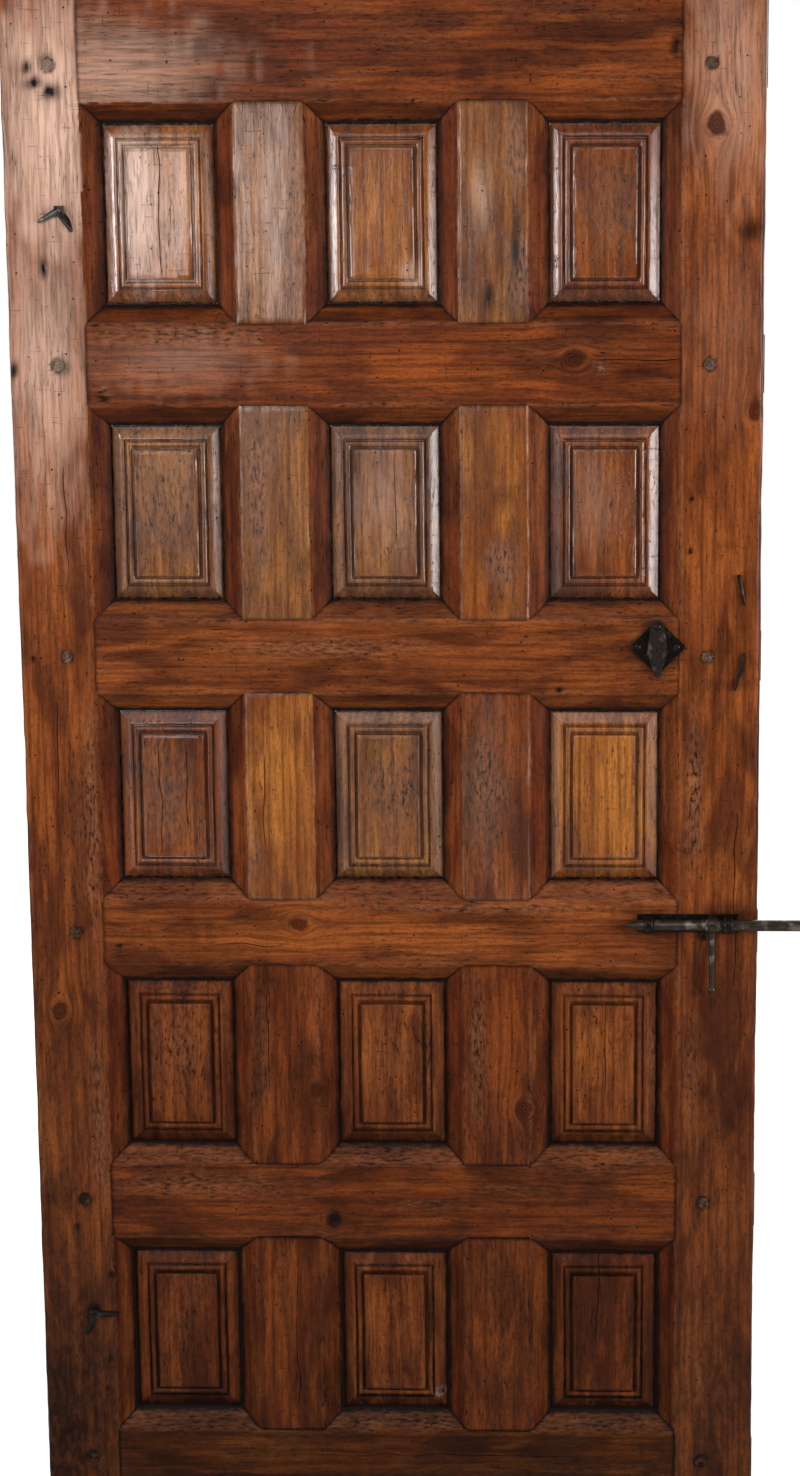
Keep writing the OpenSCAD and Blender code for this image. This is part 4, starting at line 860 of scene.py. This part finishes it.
def member_age(board, local, world):
    """Wears a frame member and returns its finish."""
    u, v, d = local.T.copy()
    seed, width, length = board.seed, board.width, board.length
    front = (d < TINY) & (v > -TINY) & (v < width + TINY)
    run_over = np.where(v < 0, -v, v - width)
    strip = run_over > TINY
    near = np.clip(np.minimum(v, width - v), 0, None)
    near_end = np.minimum(u, length - u)
    long_noise, short_noise, edge_noise, fine_noise = board_noises(local, MEMBER_NOISE, seed)

    in_run = np.zeros(len(u), bool)
    mitre, from_corner = np.full(len(u), 1.0), np.zeros(len(u))
    for side, runs in ((v < width / 2, board.low_runs), (v >= width / 2, board.high_runs)):
        for start, stop in runs:
            over = np.clip(run_over, 0, None)
            here = side & (u > start + over - TINY) & (u < stop - over + TINY)
            in_run |= here
            from_corner = np.where(here, np.minimum(u - start, stop - u), from_corner)
            mitre = np.where(here & strip, np.minimum(u - start - over, stop - over - u), mitre)

    pits = own_marks(board, "pit", world, seed)
    hollow = planed(MEMBER_HOLLOWS, long_noise, short_noise, fine_noise) * MM
    arris = (0.5 + 1.1 * edge_noise) * falloff(near, ARRIS_REACH) * MM
    joint = JOINT_DEPTH * falloff(near_end, JOINT_REACH)
    local[:, 2] += np.where(front, hollow + arris + joint + pits * MM, 0)
    local[:, 2] += np.where(strip & (d < lip_d - TINY), (0.45 * long_noise + 0.2 * fine_noise) * MM, 0)

    along = np.stack([u, np.where(v < width / 2, 0.0, 1.0), np.zeros_like(u)], axis=1)
    sway = 0.0
    for place, (size, over) in enumerate(SWAYS):
        sway = sway + size * (noise(along, (over, 0.5, 1.0), seed + 7 + place) - 0.5)
    near_arris = falloff(np.minimum(np.abs(v), np.abs(v - width)), SWAY_REACH) * (d < CHAMFER_D)
    local[:, 1] += sway * MM * near_arris * in_run * np.clip(from_corner / CORNER_REACH, 0, 1)

    rough = 0.9 * noise(local, OUTER_NOISE, seed + 4) + 0.7 * edge_noise + 0.4 * fine_noise
    rough = rough + own_marks(board, "notch", world, seed)
    for edge, way in ((0.0, 1), (width, -1)):
        if ("low" if way > 0 else "high") not in board.outer:
            continue
        away = np.abs(v - edge)
        round_over = FRONT_ROUND * falloff(d, FRONT_OVER) + BACK_ROUND * falloff(THICK - d, BACK_OVER)
        inwards = rough * falloff(away, OUTER_REACH) + round_over * falloff(away, OUTER_ARRIS)
        local[:, 1] += way * MM * inwards
        local[:, 2] += np.where(front, (1.2 + 1.6 * edge_noise) * falloff(away, OUTER_SINK) * MM, 0)

    shown = d < lip_d + TINY
    peg_ring = np.zeros(len(u))
    for x, z in itertools.product(PEG_XS, PEG_Z.values()):
        gap = np.hypot(world[:, 0] - x, world[:, 2] - z)
        peg_ring = np.maximum(peg_ring, falloff(np.abs(gap - PEG_R), PEG_RING))
    worn_edge = falloff(near, WORN_REACH) * front * in_run
    dry = 0.06 + 0.75 * np.clip(long_noise - 0.5, 0, 1) * short_noise + 0.5 * worn_edge * edge_noise
    dry = np.where(strip, 0.05 * long_noise, dry)
    dry = np.maximum(dry, own_marks(board, "dry", world, seed) * shown * np.where(strip, 0.35, 1))
    seam = np.maximum(falloff(near_end, SEAM_REACH), falloff(near, SEAM_REACH) * ~in_run) * front
    # Painted shade darkens each chamfer towards the lip where it meets the panel
    lip_shade = falloff(CHAMFER_W - run_over, LIP_REACH) * strip
    dirt_and_shade = 0.05 + 0.16 * short_noise * long_noise + 0.7 * seam + 0.95 * peg_ring * front
    dirt_and_shade = dirt_and_shade + FOOT_DARKENING * falloff(world[:, 2], FOOT_REACH)
    dirt_and_shade = dirt_and_shade + strip * (0.95 * lip_shade + 0.6 * falloff(mitre, MITRE_REACH))
    ledge = strip & (v > width / 2) & (not board.upright)
    under = strip & (v < width / 2) & (not board.upright)
    # Chamfers under the rails face down and get painted shade.
    # Ledges get dirt with painted shade high up on the leaf, and pale dust low down.
    shaded = np.clip((world[:, 2] - SHADE_FROM) / SHADE_OVER, 0, 1)
    dirt_and_shade = dirt_and_shade + ledge * 0.28 * shaded + under * 0.36
    dry = dry + ledge * 0.4 * (1 - shaded)
    # Holes get dirt and painted shade, darker the deeper they are
    dirt_and_shade = np.maximum(dirt_and_shade, np.clip(pits / 2.5, 0, 0.95) * front)
    dirt_and_shade = np.maximum(dirt_and_shade, own_marks(board, "dirt_and_shade", world, seed) * shown * np.where(strip, 0.6, 1))
    honey = 0.12 + 0.4 * (long_noise - 0.4)
    honey = np.maximum(honey, own_marks(board, "honey", world, seed) * shown * np.where(strip, 0.4, 1))
    return np.stack([dry, dirt_and_shade, honey, np.zeros(len(u))], axis=1)


# %% [markdown]
# ## Frame members
#
# Stiles run through from top to bottom, rails go between them and muntins between the rails. The rails'
# tenons come out at the leaf's edges, so each rail carries two small blocks of end grain.

# %% Build stiles, rails and muntins
row_runs = sorted(row_span(row) for row in ROWS)
members = [
    Board("left_stile", LEFT, 0, True, TOP, INNER_LEFT - LEFT, [], row_runs, ("low",)),
    Board("right_stile", INNER_RIGHT, 0, True, TOP, RIGHT - INNER_RIGHT, row_runs, [], ("high",)),
]
for number in RAILS:
    low, high = rail_span(number)
    openings = [(a - INNER_LEFT, b - INNER_LEFT) for a, b in column_spans]
    outer = ("low",) * (number == RAILS[-1]) + ("high",) * (number == RAILS[0])
    below = openings if number < RAILS[-1] else []
    above = openings if number > RAILS[0] else []
    members.append(Board(f"rail_{number}", INNER_LEFT, low, False, INNER_RIGHT - INNER_LEFT, high - low,
                         below, above, outer))
for row in ROWS:
    low, high = row_span(row)
    for side in ("left", "right"):
        x0, x1 = muntin_span(row, side)
        members.append(Board(f"muntin_{row}_{side}", x0, low, True, high - low, x1 - x0,
                             [(0.0, high - low)], [(0.0, high - low)]))

TENON_T, TENON_SHOULDER, TENON_PROUD, TENON_LAP = 14 * MM, 14 * MM, 0.4 * MM, 8 * MM


def add_tenons(board, skin):
    """Adds the two through tenons of a rail as blocks that reach the leaf's edges."""
    left_end, right_end = LEFT - INNER_LEFT - TENON_PROUD, RIGHT - INNER_LEFT + TENON_PROUD
    spans = ((left_end, TENON_LAP), (board.length - TENON_LAP, right_end))
    d0, d1 = (THICK - TENON_T) / 2, (THICK + TENON_T) / 2
    v0, v1 = TENON_SHOULDER, board.width - TENON_SHOULDER
    for u0, u1 in spans:
        for d in (d0, d1):
            skin.cap([(u0, v0, d), (u1, v0, d), (u1, v1, d), (u0, v1, d)])
        for v in (v0, v1):
            skin.cap([(u0, v, d0), (u1, v, d0), (u1, v, d1), (u0, v, d1)])
        for u in (u0, u1):
            skin.cap([(u, v0, d0), (u, v1, d0), (u, v1, d1), (u, v0, d1)])


faces = 0
for board in members:
    skin = member_skin(board)
    if board.name.startswith("rail"):
        add_tenons(board, skin)
    made = dress(board, skin, member_age, tone_of.get(board.name, "red_brown"))
    faces += len(made.data.polygons)
print(len(members), "members with", faces, "faces")

# %% [markdown]
# ## Panels
#
# Each panel is one board with a profile all round: tongue, bevel, quirk, bead, quirk and raised field. The
# depth of a point depends only on its distance from the nearest edge, so the corners mitre by themselves.

# %% Build the panels
TONGUE_L, PANEL_FIT, TONGUE_T = 9.2 * MM, 0.3 * MM, 10 * MM
BEVEL_IN, CREST_IN, BEAD_IN, BEAD_W, FIELD_IN = (n * MM for n in (10.2, 25.7, 28.3, 7.0, 37.9))
BEVEL_RISE, QUIRK_D, FIELD_RISE, BEAD_H = 8.8 * MM, 2.2 * MM, 3.2 * MM, 2.2 * MM
TONGUE_D = groove_d - PANEL_FIT - TONGUE_T
CREST_D = TONGUE_D - BEVEL_RISE
BEVEL_SHARES, BEAD_SHARES, BEAD_FULLNESS = (0.2, 0.4, 0.6, 0.8, 0.95), np.linspace(0.06, 0.94, 7), 0.7
QUIRK_FLOOR, FIELD_D = CREST_D + QUIRK_D, CREST_D - FIELD_RISE
PROFILE = [(0, TONGUE_D), (TONGUE_L, TONGUE_D), (BEVEL_IN, TONGUE_D)]
PROFILE += [(BEVEL_IN + (CREST_IN - BEVEL_IN) * s, TONGUE_D - BEVEL_RISE * s) for s in BEVEL_SHARES]
PROFILE += [(CREST_IN + 0.3 * MM, CREST_D + 0.3 * MM), (CREST_IN + 0.6 * MM, QUIRK_FLOOR)]
PROFILE += [(BEAD_IN, QUIRK_FLOOR)]
PROFILE += [(BEAD_IN + BEAD_W * s, QUIRK_FLOOR - BEAD_H * math.sin(math.pi * s) ** BEAD_FULLNESS)
            for s in BEAD_SHARES]
PROFILE += [(BEAD_IN + BEAD_W, QUIRK_FLOOR), (FIELD_IN - 0.4 * MM, QUIRK_FLOOR)]
PROFILE += [(FIELD_IN, FIELD_D + 1.2 * MM), (FIELD_IN + 0.7 * MM, FIELD_D + 0.4 * MM)]
PROFILE += [(FIELD_IN + 2 * MM, FIELD_D)]
profile_in, profile_d = np.array(PROFILE).T
PANEL_STEP_ALONG, PANEL_STEP_ACROSS = 3.4 * MM, 3 * MM


def panel_skin(board):
    """Closed skin of a raised and fielded panel with a flat back."""
    inner = profile_in[-1]
    split_vs = [v for _, v, _, _ in board_splits(board) if inner < v < board.width - inner]
    keep = [v + line for v in split_vs for line in SPLIT_LINES]
    vs = np.concatenate([profile_in[:-1], lines(inner, board.width - inner, PANEL_STEP_ACROSS, keep),
                         board.width - profile_in[-2::-1]])
    us = np.concatenate([profile_in[:-1], lines(inner, board.length - inner, PANEL_STEP_ALONG),
                         board.length - profile_in[-2::-1]])
    points = sheet(us, vs, 0)
    inset = np.minimum(np.minimum(points[..., 0], board.length - points[..., 0]),
                       np.minimum(points[..., 1], board.width - points[..., 1]))
    points[..., 2] = np.interp(inset, profile_in, profile_d)
    skin = Skin()
    skin.grid(points)
    rows, columns = len(us) - 1, len(vs) - 1
    split_faces = []
    for i, j in itertools.product(range(rows), range(columns)):
        a, b, c, d = skin.faces[i * columns + j]
        from_u, from_v = min(i, rows - 1 - i), min(j, columns - 1 - j)
        if from_u != from_v or from_u >= len(PROFILE) - 1:
            split_faces.append([a, b, c, d])
        elif (i < rows / 2) == (j < columns / 2):
            split_faces += [[a, b, c], [a, c, d]]
        else:
            split_faces += [[a, b, d], [b, c, d]]
    skin.faces, skin.slots = split_faces, [FACE_SLOT] * len(split_faces)
    rim = [*points[0, :-1], *points[:-1, -1], *points[-1, :0:-1], *points[:0:-1, 0]]
    back = [(u, v, TONGUE_D + TONGUE_T) for u, v, _ in rim]
    wall = np.array([[*rim, rim[0]], [*back, back[0]]])
    skin.grid(wall)
    skin.cap(back)
    return skin


PANEL_NOISE = ((150, 30, 30), (40, 8, 20), (22, 18, 20), (9, 4, 8))
PANEL_HOLLOWS = (0.7, 0.3, 0.12)
CREST_REACH, CREST_DRY, FIELD_REACH, QUIRK_REACH, BEVEL_FOOT_REACH = (n * MM for n in (2.2, 3, 2.6, 3, 4))
LINE_WANDER, LINE_MIDDLE, LINE_REACH, LINE_OVER = 1.1 * MM, 31 * MM, 20 * MM, 60 * MM


def panel_age(board, local, world):
    """Wears a panel and returns its finish."""
    u, v, d = local.T.copy()
    seed = board.seed
    front = d < TONGUE_D + TINY
    inset = np.minimum(np.minimum(u, board.length - u), np.minimum(v, board.width - v))
    long_noise, short_noise, edge_noise, fine_noise = board_noises(local, PANEL_NOISE, seed)
    field = inset > FIELD_IN + TINY
    bevel = (inset > BEVEL_IN + TINY) & (inset < CREST_IN + 0.5 * MM)
    pits = own_marks(board, "pit", world, seed)
    hollow = planed(PANEL_HOLLOWS, long_noise, short_noise, fine_noise)
    crest_wear = (0.4 + 0.9 * edge_noise) * falloff(np.abs(inset - CREST_IN), CREST_REACH)
    rim_wear = (0.3 + 0.8 * edge_noise) * falloff(np.abs(inset - FIELD_IN), FIELD_REACH) * field
    local[:, 2] += MM * front * (hollow * (0.25 + 0.75 * field) + crest_wear + rim_wear + pits)
    wander = falloff(np.abs(inset - LINE_MIDDLE), LINE_REACH) * LINE_WANDER
    local[:, 0] += wander * (noise(local, (LINE_OVER,) * 3, seed + 5) - 0.5)
    local[:, 1] += wander * (noise(local, (LINE_OVER,) * 3, seed + 6) - 0.5)

    # Painted shade in the quirks, and at the foot of the bevel where the panel goes into the groove
    quirk = falloff(np.abs(inset - (CREST_IN + BEAD_IN) / 2 - 0.3 * MM), QUIRK_REACH)
    quirk = np.maximum(quirk, falloff(np.abs(inset - (FIELD_IN + BEAD_IN + BEAD_W) / 2), QUIRK_REACH))
    dry = 0.08 + 0.9 * np.clip(long_noise - 0.45, 0, 1) * short_noise
    dry = dry + 0.35 * edge_noise * falloff(np.abs(inset - CREST_IN), CREST_DRY)
    dry = np.where(bevel, 0.12 * long_noise, dry)
    dry = np.maximum(dry, own_marks(board, "dry", world, seed) * front)
    bevel_foot = falloff(inset - BEVEL_IN, BEVEL_FOOT_REACH) * front
    dirt_and_shade = 0.05 + 0.18 * short_noise * long_noise + 0.75 * quirk + 0.95 * bevel_foot
    # Holes get dirt and painted shade, darker the deeper they are
    dirt_and_shade = np.maximum(dirt_and_shade, np.clip(pits / 3, 0, 0.6) * front) + FOOT_DARKENING * falloff(world[:, 2], FOOT_REACH)
    # Painted shade on the bottom bevels, which face down. The top bevels are darkened a little.
    bottom, top = bevel & (u < inset + TINY), bevel & (board.length - u < inset + TINY)
    dirt_and_shade = dirt_and_shade + 0.34 * bottom + 0.12 * top
    dirt_and_shade = np.maximum(dirt_and_shade, own_marks(board, "dirt_and_shade", world, seed) * front)
    honey = 0.15 + 0.4 * (long_noise - 0.4)
    honey = np.maximum(honey, own_marks(board, "honey", world, seed) * front)
    return np.stack([dry, dirt_and_shade, honey, np.zeros(len(u))], axis=1)


faces = 0
for row, column in itertools.product(ROWS, COLUMNS):
    low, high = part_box(f"panel_{row}_{column}")
    board = Board(f"panel_{row}_{column}", low.x, low.z, True, high.z - low.z, high.x - low.x, [], [])
    made = dress(board, panel_skin(board), panel_age, tone_of.get(board.name, "red_brown"))
    faces += len(made.data.polygons)
print(len(ROWS) * len(COLUMNS), "panels with", faces, "faces")

# %% [markdown]
# ## Pegs
#
# The pegs are whittled, not turned: their outline is uneven and the end grain stands a hair proud of the
# face.

# %% Build the pegs
PEG_PROUD, PEG_DOME, PEG_SEGMENTS = 0.7 * MM, 0.5 * MM, 20
# Grey, matt end grain, so that the pegs show apart from the boards. The lower ones are browner and darker.
PEG_COLOURS, PEG_FINISH = ("#4a3d36", "#9a8578", "#a58c7a"), (0.5, 0.1)
PEG_TONE = waxed_pine("weathered_pine_end_grain", *PEG_COLOURS, *PEG_FINISH)
# How dry and dirty the pegs of each stile are, from the top down
PEG_DIRT = [(0.2, 0.12, 0.5, 0.76, 0.94, 1.0), (0.52, 0.46, 0.66, 0.96, 0.76, 1.0)]
PEG_RINGS = (0.0, 0.3, 0.6, 0.85, 1.0)


def peg_skin():
    """All twelve pegs as closed skins, in world directions."""
    skin = Skin()
    turns = np.linspace(0, 2 * math.pi, PEG_SEGMENTS + 1)
    for place, (x, number) in enumerate(itertools.product(PEG_XS, RAILS)):
        circle = np.stack([np.cos(turns), np.zeros_like(turns), np.sin(turns)], axis=1)
        radius = PEG_R * (0.88 + 0.2 * noise(circle * MM, (0.9 * MM,) * 3, place))
        rows = []
        for face, way in ((FRONT - PEG_PROUD, -1), (BACK + PEG_PROUD, 1)):
            rings = PEG_RINGS if way < 0 else PEG_RINGS[::-1]
            for share in rings:
                dome = PEG_DOME * share ** 4
                depth = np.full_like(turns, face - way * dome)
                across, rise = radius * share * circle[:, 0], radius * share * circle[:, 2]
                rows.append(np.stack([x + across, depth, PEG_Z[number] + rise], axis=1))
        skin.grid(np.array(rows))
    return skin


peg_mesh = peg_skin().mesh("joint_pegs")
peg_points = np.empty(len(peg_mesh.vertices) * 3)
peg_mesh.vertices.foreach_get("co", peg_points)
peg_points = peg_points.reshape(-1, 3)
peg_finish = np.zeros((len(peg_points), 4))
for x, grime in zip(PEG_XS, PEG_DIRT):
    for number, dirt_and_shade in zip(RAILS, grime):
        here = np.hypot(peg_points[:, 0] - x, peg_points[:, 2] - PEG_Z[number]) < 2 * PEG_R
        peg_finish[here, :2] = dirt_and_shade
write_attributes(peg_mesh, grain=peg_points[:, [1, 0, 2]], finish=peg_finish)
peg_mesh.materials.append(PEG_TONE)
pegs = put("joint_pegs_worn", peg_mesh)
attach(pegs, "leaf")
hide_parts("joint_pegs")
print("pegs", len(peg_mesh.polygons), "faces")

# %% [markdown]
# ## Ironwork
#
# The iron keeps its CAD solids. Their faces come in split, so a weld joins them before a small bevel softens
# the edges as a file and use would.

# %% Finish the iron
WOODEN = ("left", "right", "rail", "muntin", "panel", "joint")
IRON_NODES = [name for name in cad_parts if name.split("_")[0] not in WOODEN]
HANDLED = ("bolt_bar", "bolt_handle", "keyhole_cover")
IRON_WELD, FILED_EDGE, FORGED_EDGE, EDGE_FROM = 0.01 * MM, 0.5 * MM, 1.3 * MM, math.radians(40)
for name in IRON_NODES:
    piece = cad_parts[name]
    weld = piece.modifiers.new("weld", "WELD")
    weld.merge_threshold = IRON_WELD
    bevel = piece.modifiers.new("file_edge", "BEVEL")
    bevel.width, bevel.segments = FORGED_EDGE if "eye" in name else FILED_EDGE, 3
    bevel.limit_method, bevel.angle_limit = "ANGLE", EDGE_FROM
    piece.data.materials.clear()
    piece.data.materials.append(HANDLED_IRON if name in HANDLED else IRON)
print("iron nodes", IRON_NODES)

# %% [markdown]
# The tails of the hinge eyes were driven through the stile, bent over and hammered flat. Forging leaves them
# rounded, so a tapered rod lies over each flat CAD tail. A bevel alone can't round so thin a plate.

# %% Round the clinched tails
TAIL_X, TAIL_SEGMENTS = LEFT + 65 * MM, 14
EYE_Z = {"upper_hinge_eye": 1684 * MM, "lower_hinge_eye": 315 * MM}
TAIL_HALF_W, TAIL_TAPER, TAIL_LIFT, TAIL_FLATNESS = 4.4, 2.2, 1.6 * MM, 0.8
TAIL_SHARES, TIP_BLUNT, TIP_POWER = np.linspace(-0.12, 1, 15), 0.02, 6
# Tail: eye, direction in degrees, length and bow in millimetres, and iron
TAILS = [
    ("upper_tail_left", "upper_hinge_eye", 208, 28, 0.0, PAINTED_HIGHLIGHT_IRON),
    ("upper_tail_right", "upper_hinge_eye", -56, 30, 3.0, IRON),
    ("lower_tail_right", "lower_hinge_eye", 0, 34, -1.5, IRON),
    ("lower_tail_down", "lower_hinge_eye", -107, 31, 1.5, IRON),
]
for name, eye, turn_deg, length, bow, iron in TAILS:
    angle = math.radians(turn_deg)
    rings = []
    for share in TAIL_SHARES:
        to_tip = max(0, share * (1 + TIP_BLUNT) - TIP_BLUNT)
        rounding = math.sqrt(max(TIP_BLUNT, 1 - to_tip ** TIP_POWER))
        half_w = (TAIL_HALF_W - TAIL_TAPER * max(share, 0)) * MM * rounding
        half_h = half_w * TAIL_FLATNESS
        off = bow * MM * math.sin(math.pi * max(share, 0))
        middle = np.array([math.cos(angle) * share * length * MM - math.sin(angle) * off, 0,
                           math.sin(angle) * share * length * MM + math.cos(angle) * off])
        turns = np.linspace(0, 2 * math.pi, TAIL_SEGMENTS + 1)
        side = np.array([-math.sin(angle), 0, math.cos(angle)])
        ring = middle + np.outer(np.cos(turns) * half_w, side) + np.outer(np.sin(turns) * half_h, [0, -1, 0])
        rings.append(ring + [TAIL_X, FRONT - TAIL_LIFT, EYE_Z[eye]])
    skin = Skin()
    skin.grid(np.array(rings))
    skin.cap(rings[0][:-1])
    skin.cap(rings[-1][:-1])
    tail_mesh = skin.mesh(name)
    tail_mesh.materials.append(iron)
    tail = put(name, tail_mesh)
    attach(tail, "leaf")
print(len(TAILS), "clinched tails")

# %% [markdown]
# ## Studio
#
# A pale floor takes the shadow. Soft boxes stand left, right and above, because the photo shows glare on
# the bevels that face both sides and darker wood towards the foot. The room in front of the leaf is dim,
# so the wax reflects the boxes and not a white wall.

# %% Floor, backdrop and light
floor_mesh = bpy.data.meshes.new("studio_floor")
FLOOR_HALF = 9.0
GLOW_NEAR, GLOW_FAR = 0.7, 1.0
GLOW_FROM, GLOW_TO = 0.7, 2.4
floor_corners = [(x * FLOOR_HALF, y * FLOOR_HALF, 0) for x, y in ((-1, -1), (1, -1), (1, 1), (-1, 1))]
floor_mesh.from_pydata(floor_corners, [], [(0, 1, 2, 3)])
floor_material, floor_tree, floor_shader = new_material("matt_pale_floor")
floor_shader.inputs["Base Color"].default_value = srgb("#d6d3cd")
floor_shader.inputs["Roughness"].default_value = 0.9
floor_shader.inputs["Emission Color"].default_value = (1, 1, 1, 1)
floor_ray = add(floor_tree, "LightPath").outputs["Is Camera Ray"]
floor_place = add(floor_tree, "TexCoord").outputs["Object"]
floor_away = add(floor_tree, "VectorMath", {0: floor_place}, operation="LENGTH").outputs["Value"]
glow_limits = {"Value": floor_away, "From Min": GLOW_FROM, "From Max": GLOW_TO,
               "To Min": GLOW_NEAR, "To Max": GLOW_FAR}
floor_glow = add(floor_tree, "MapRange", glow_limits, interpolation_type="SMOOTHSTEP")
floor_seen = add(floor_tree, "Math", {0: floor_ray, 1: floor_glow}, operation="MULTIPLY")
floor_tree.links.new(floor_seen.outputs[0], floor_shader.inputs["Emission Strength"])
floor_mesh.materials.append(floor_material)
floor = put("studio_floor", floor_mesh)

# Soft box: place and aim in metres, width, height and watts. The last one lights the back.
SOFT_BOXES = [
    ("key_box", (-0.95, -3.1, 1.9), (-0.1, 0.0, 1.3), 0.5, 1.0, 22),
    ("left_box", (-2.1, -1.14, 1.75), (0.0, 0.0, 1.7), 0.45, 0.36, 24),
    ("right_box", (2.05, -1.2, 1.38), (0.0, 0.0, 1.4), 0.6, 0.85, 36),
    ("left_fill", (-2.4, -1.5, 0.9), (0.0, 0.0, 0.9), 1.6, 1.6, 13),
    ("right_fill", (2.4, -1.5, 0.8), (0.0, 0.0, 0.8), 1.6, 1.5, 12),
    ("top_box", (-0.2, -2.4, 3.6), (0.0, 0.0, 1.3), 2.4, 1.5, 28),
    ("back_box", (0.7, 2.7, 2.2), (0.0, 0.0, 1.0), 1.6, 1.6, 26),
]
for name, place, aim, width, height, watts in SOFT_BOXES:
    light = bpy.data.lights.new(name, "AREA")
    light.shape, light.size, light.size_y, light.energy = "RECTANGLE", width, height, watts
    box = put(name, light)
    box.location = place
    box.rotation_euler = (Vector(aim) - Vector(place)).to_track_quat("-Z", "Y").to_euler()

AMBIENT, DIM_ROOM, ROOM_FROM, ROOM_TO = 0.15, 0.0, -0.35, 0.1
world = bpy.data.worlds.new("studio")
bpy.context.scene.world = world
world.use_nodes = True
sky = world.node_tree
sky.nodes.clear()
rays = add(sky, "LightPath")
direction = add(sky, "SeparateXYZ", {0: add(sky, "TexCoord").outputs["Generated"]})
room = add(sky, "MapRange", {"Value": direction.outputs["Y"], "From Min": ROOM_FROM, "From Max": ROOM_TO,
                             "To Min": DIM_ROOM, "To Max": 1.0})
straight, through = rays.outputs["Is Camera Ray"], rays.outputs["Is Transmission Ray"]
seen = add(sky, "Math", {0: straight, 1: through}, operation="ADD")
mirrored = add(sky, "Math", {0: rays.outputs["Is Glossy Ray"], 1: room}, operation="MULTIPLY")
white = add(sky, "Math", {0: seen, 1: mirrored}, operation="ADD", use_clamp=True)
plain = add(sky, "Math", {0: seen, 1: rays.outputs["Is Glossy Ray"]}, operation="ADD", use_clamp=True)
rest = add(sky, "MapRange", {"Value": plain, "To Min": AMBIENT, "To Max": 0.0})
strength = add(sky, "Math", {0: white, 1: rest}, operation="ADD")
backdrop = add(sky, "Background", {"Color": (1, 1, 1, 1), "Strength": strength})
add(sky, "OutputWorld", {"Surface": backdrop})
bpy.context.scene.view_settings.view_transform = "Standard"
print("soft boxes", [row[0] for row in SOFT_BOXES])
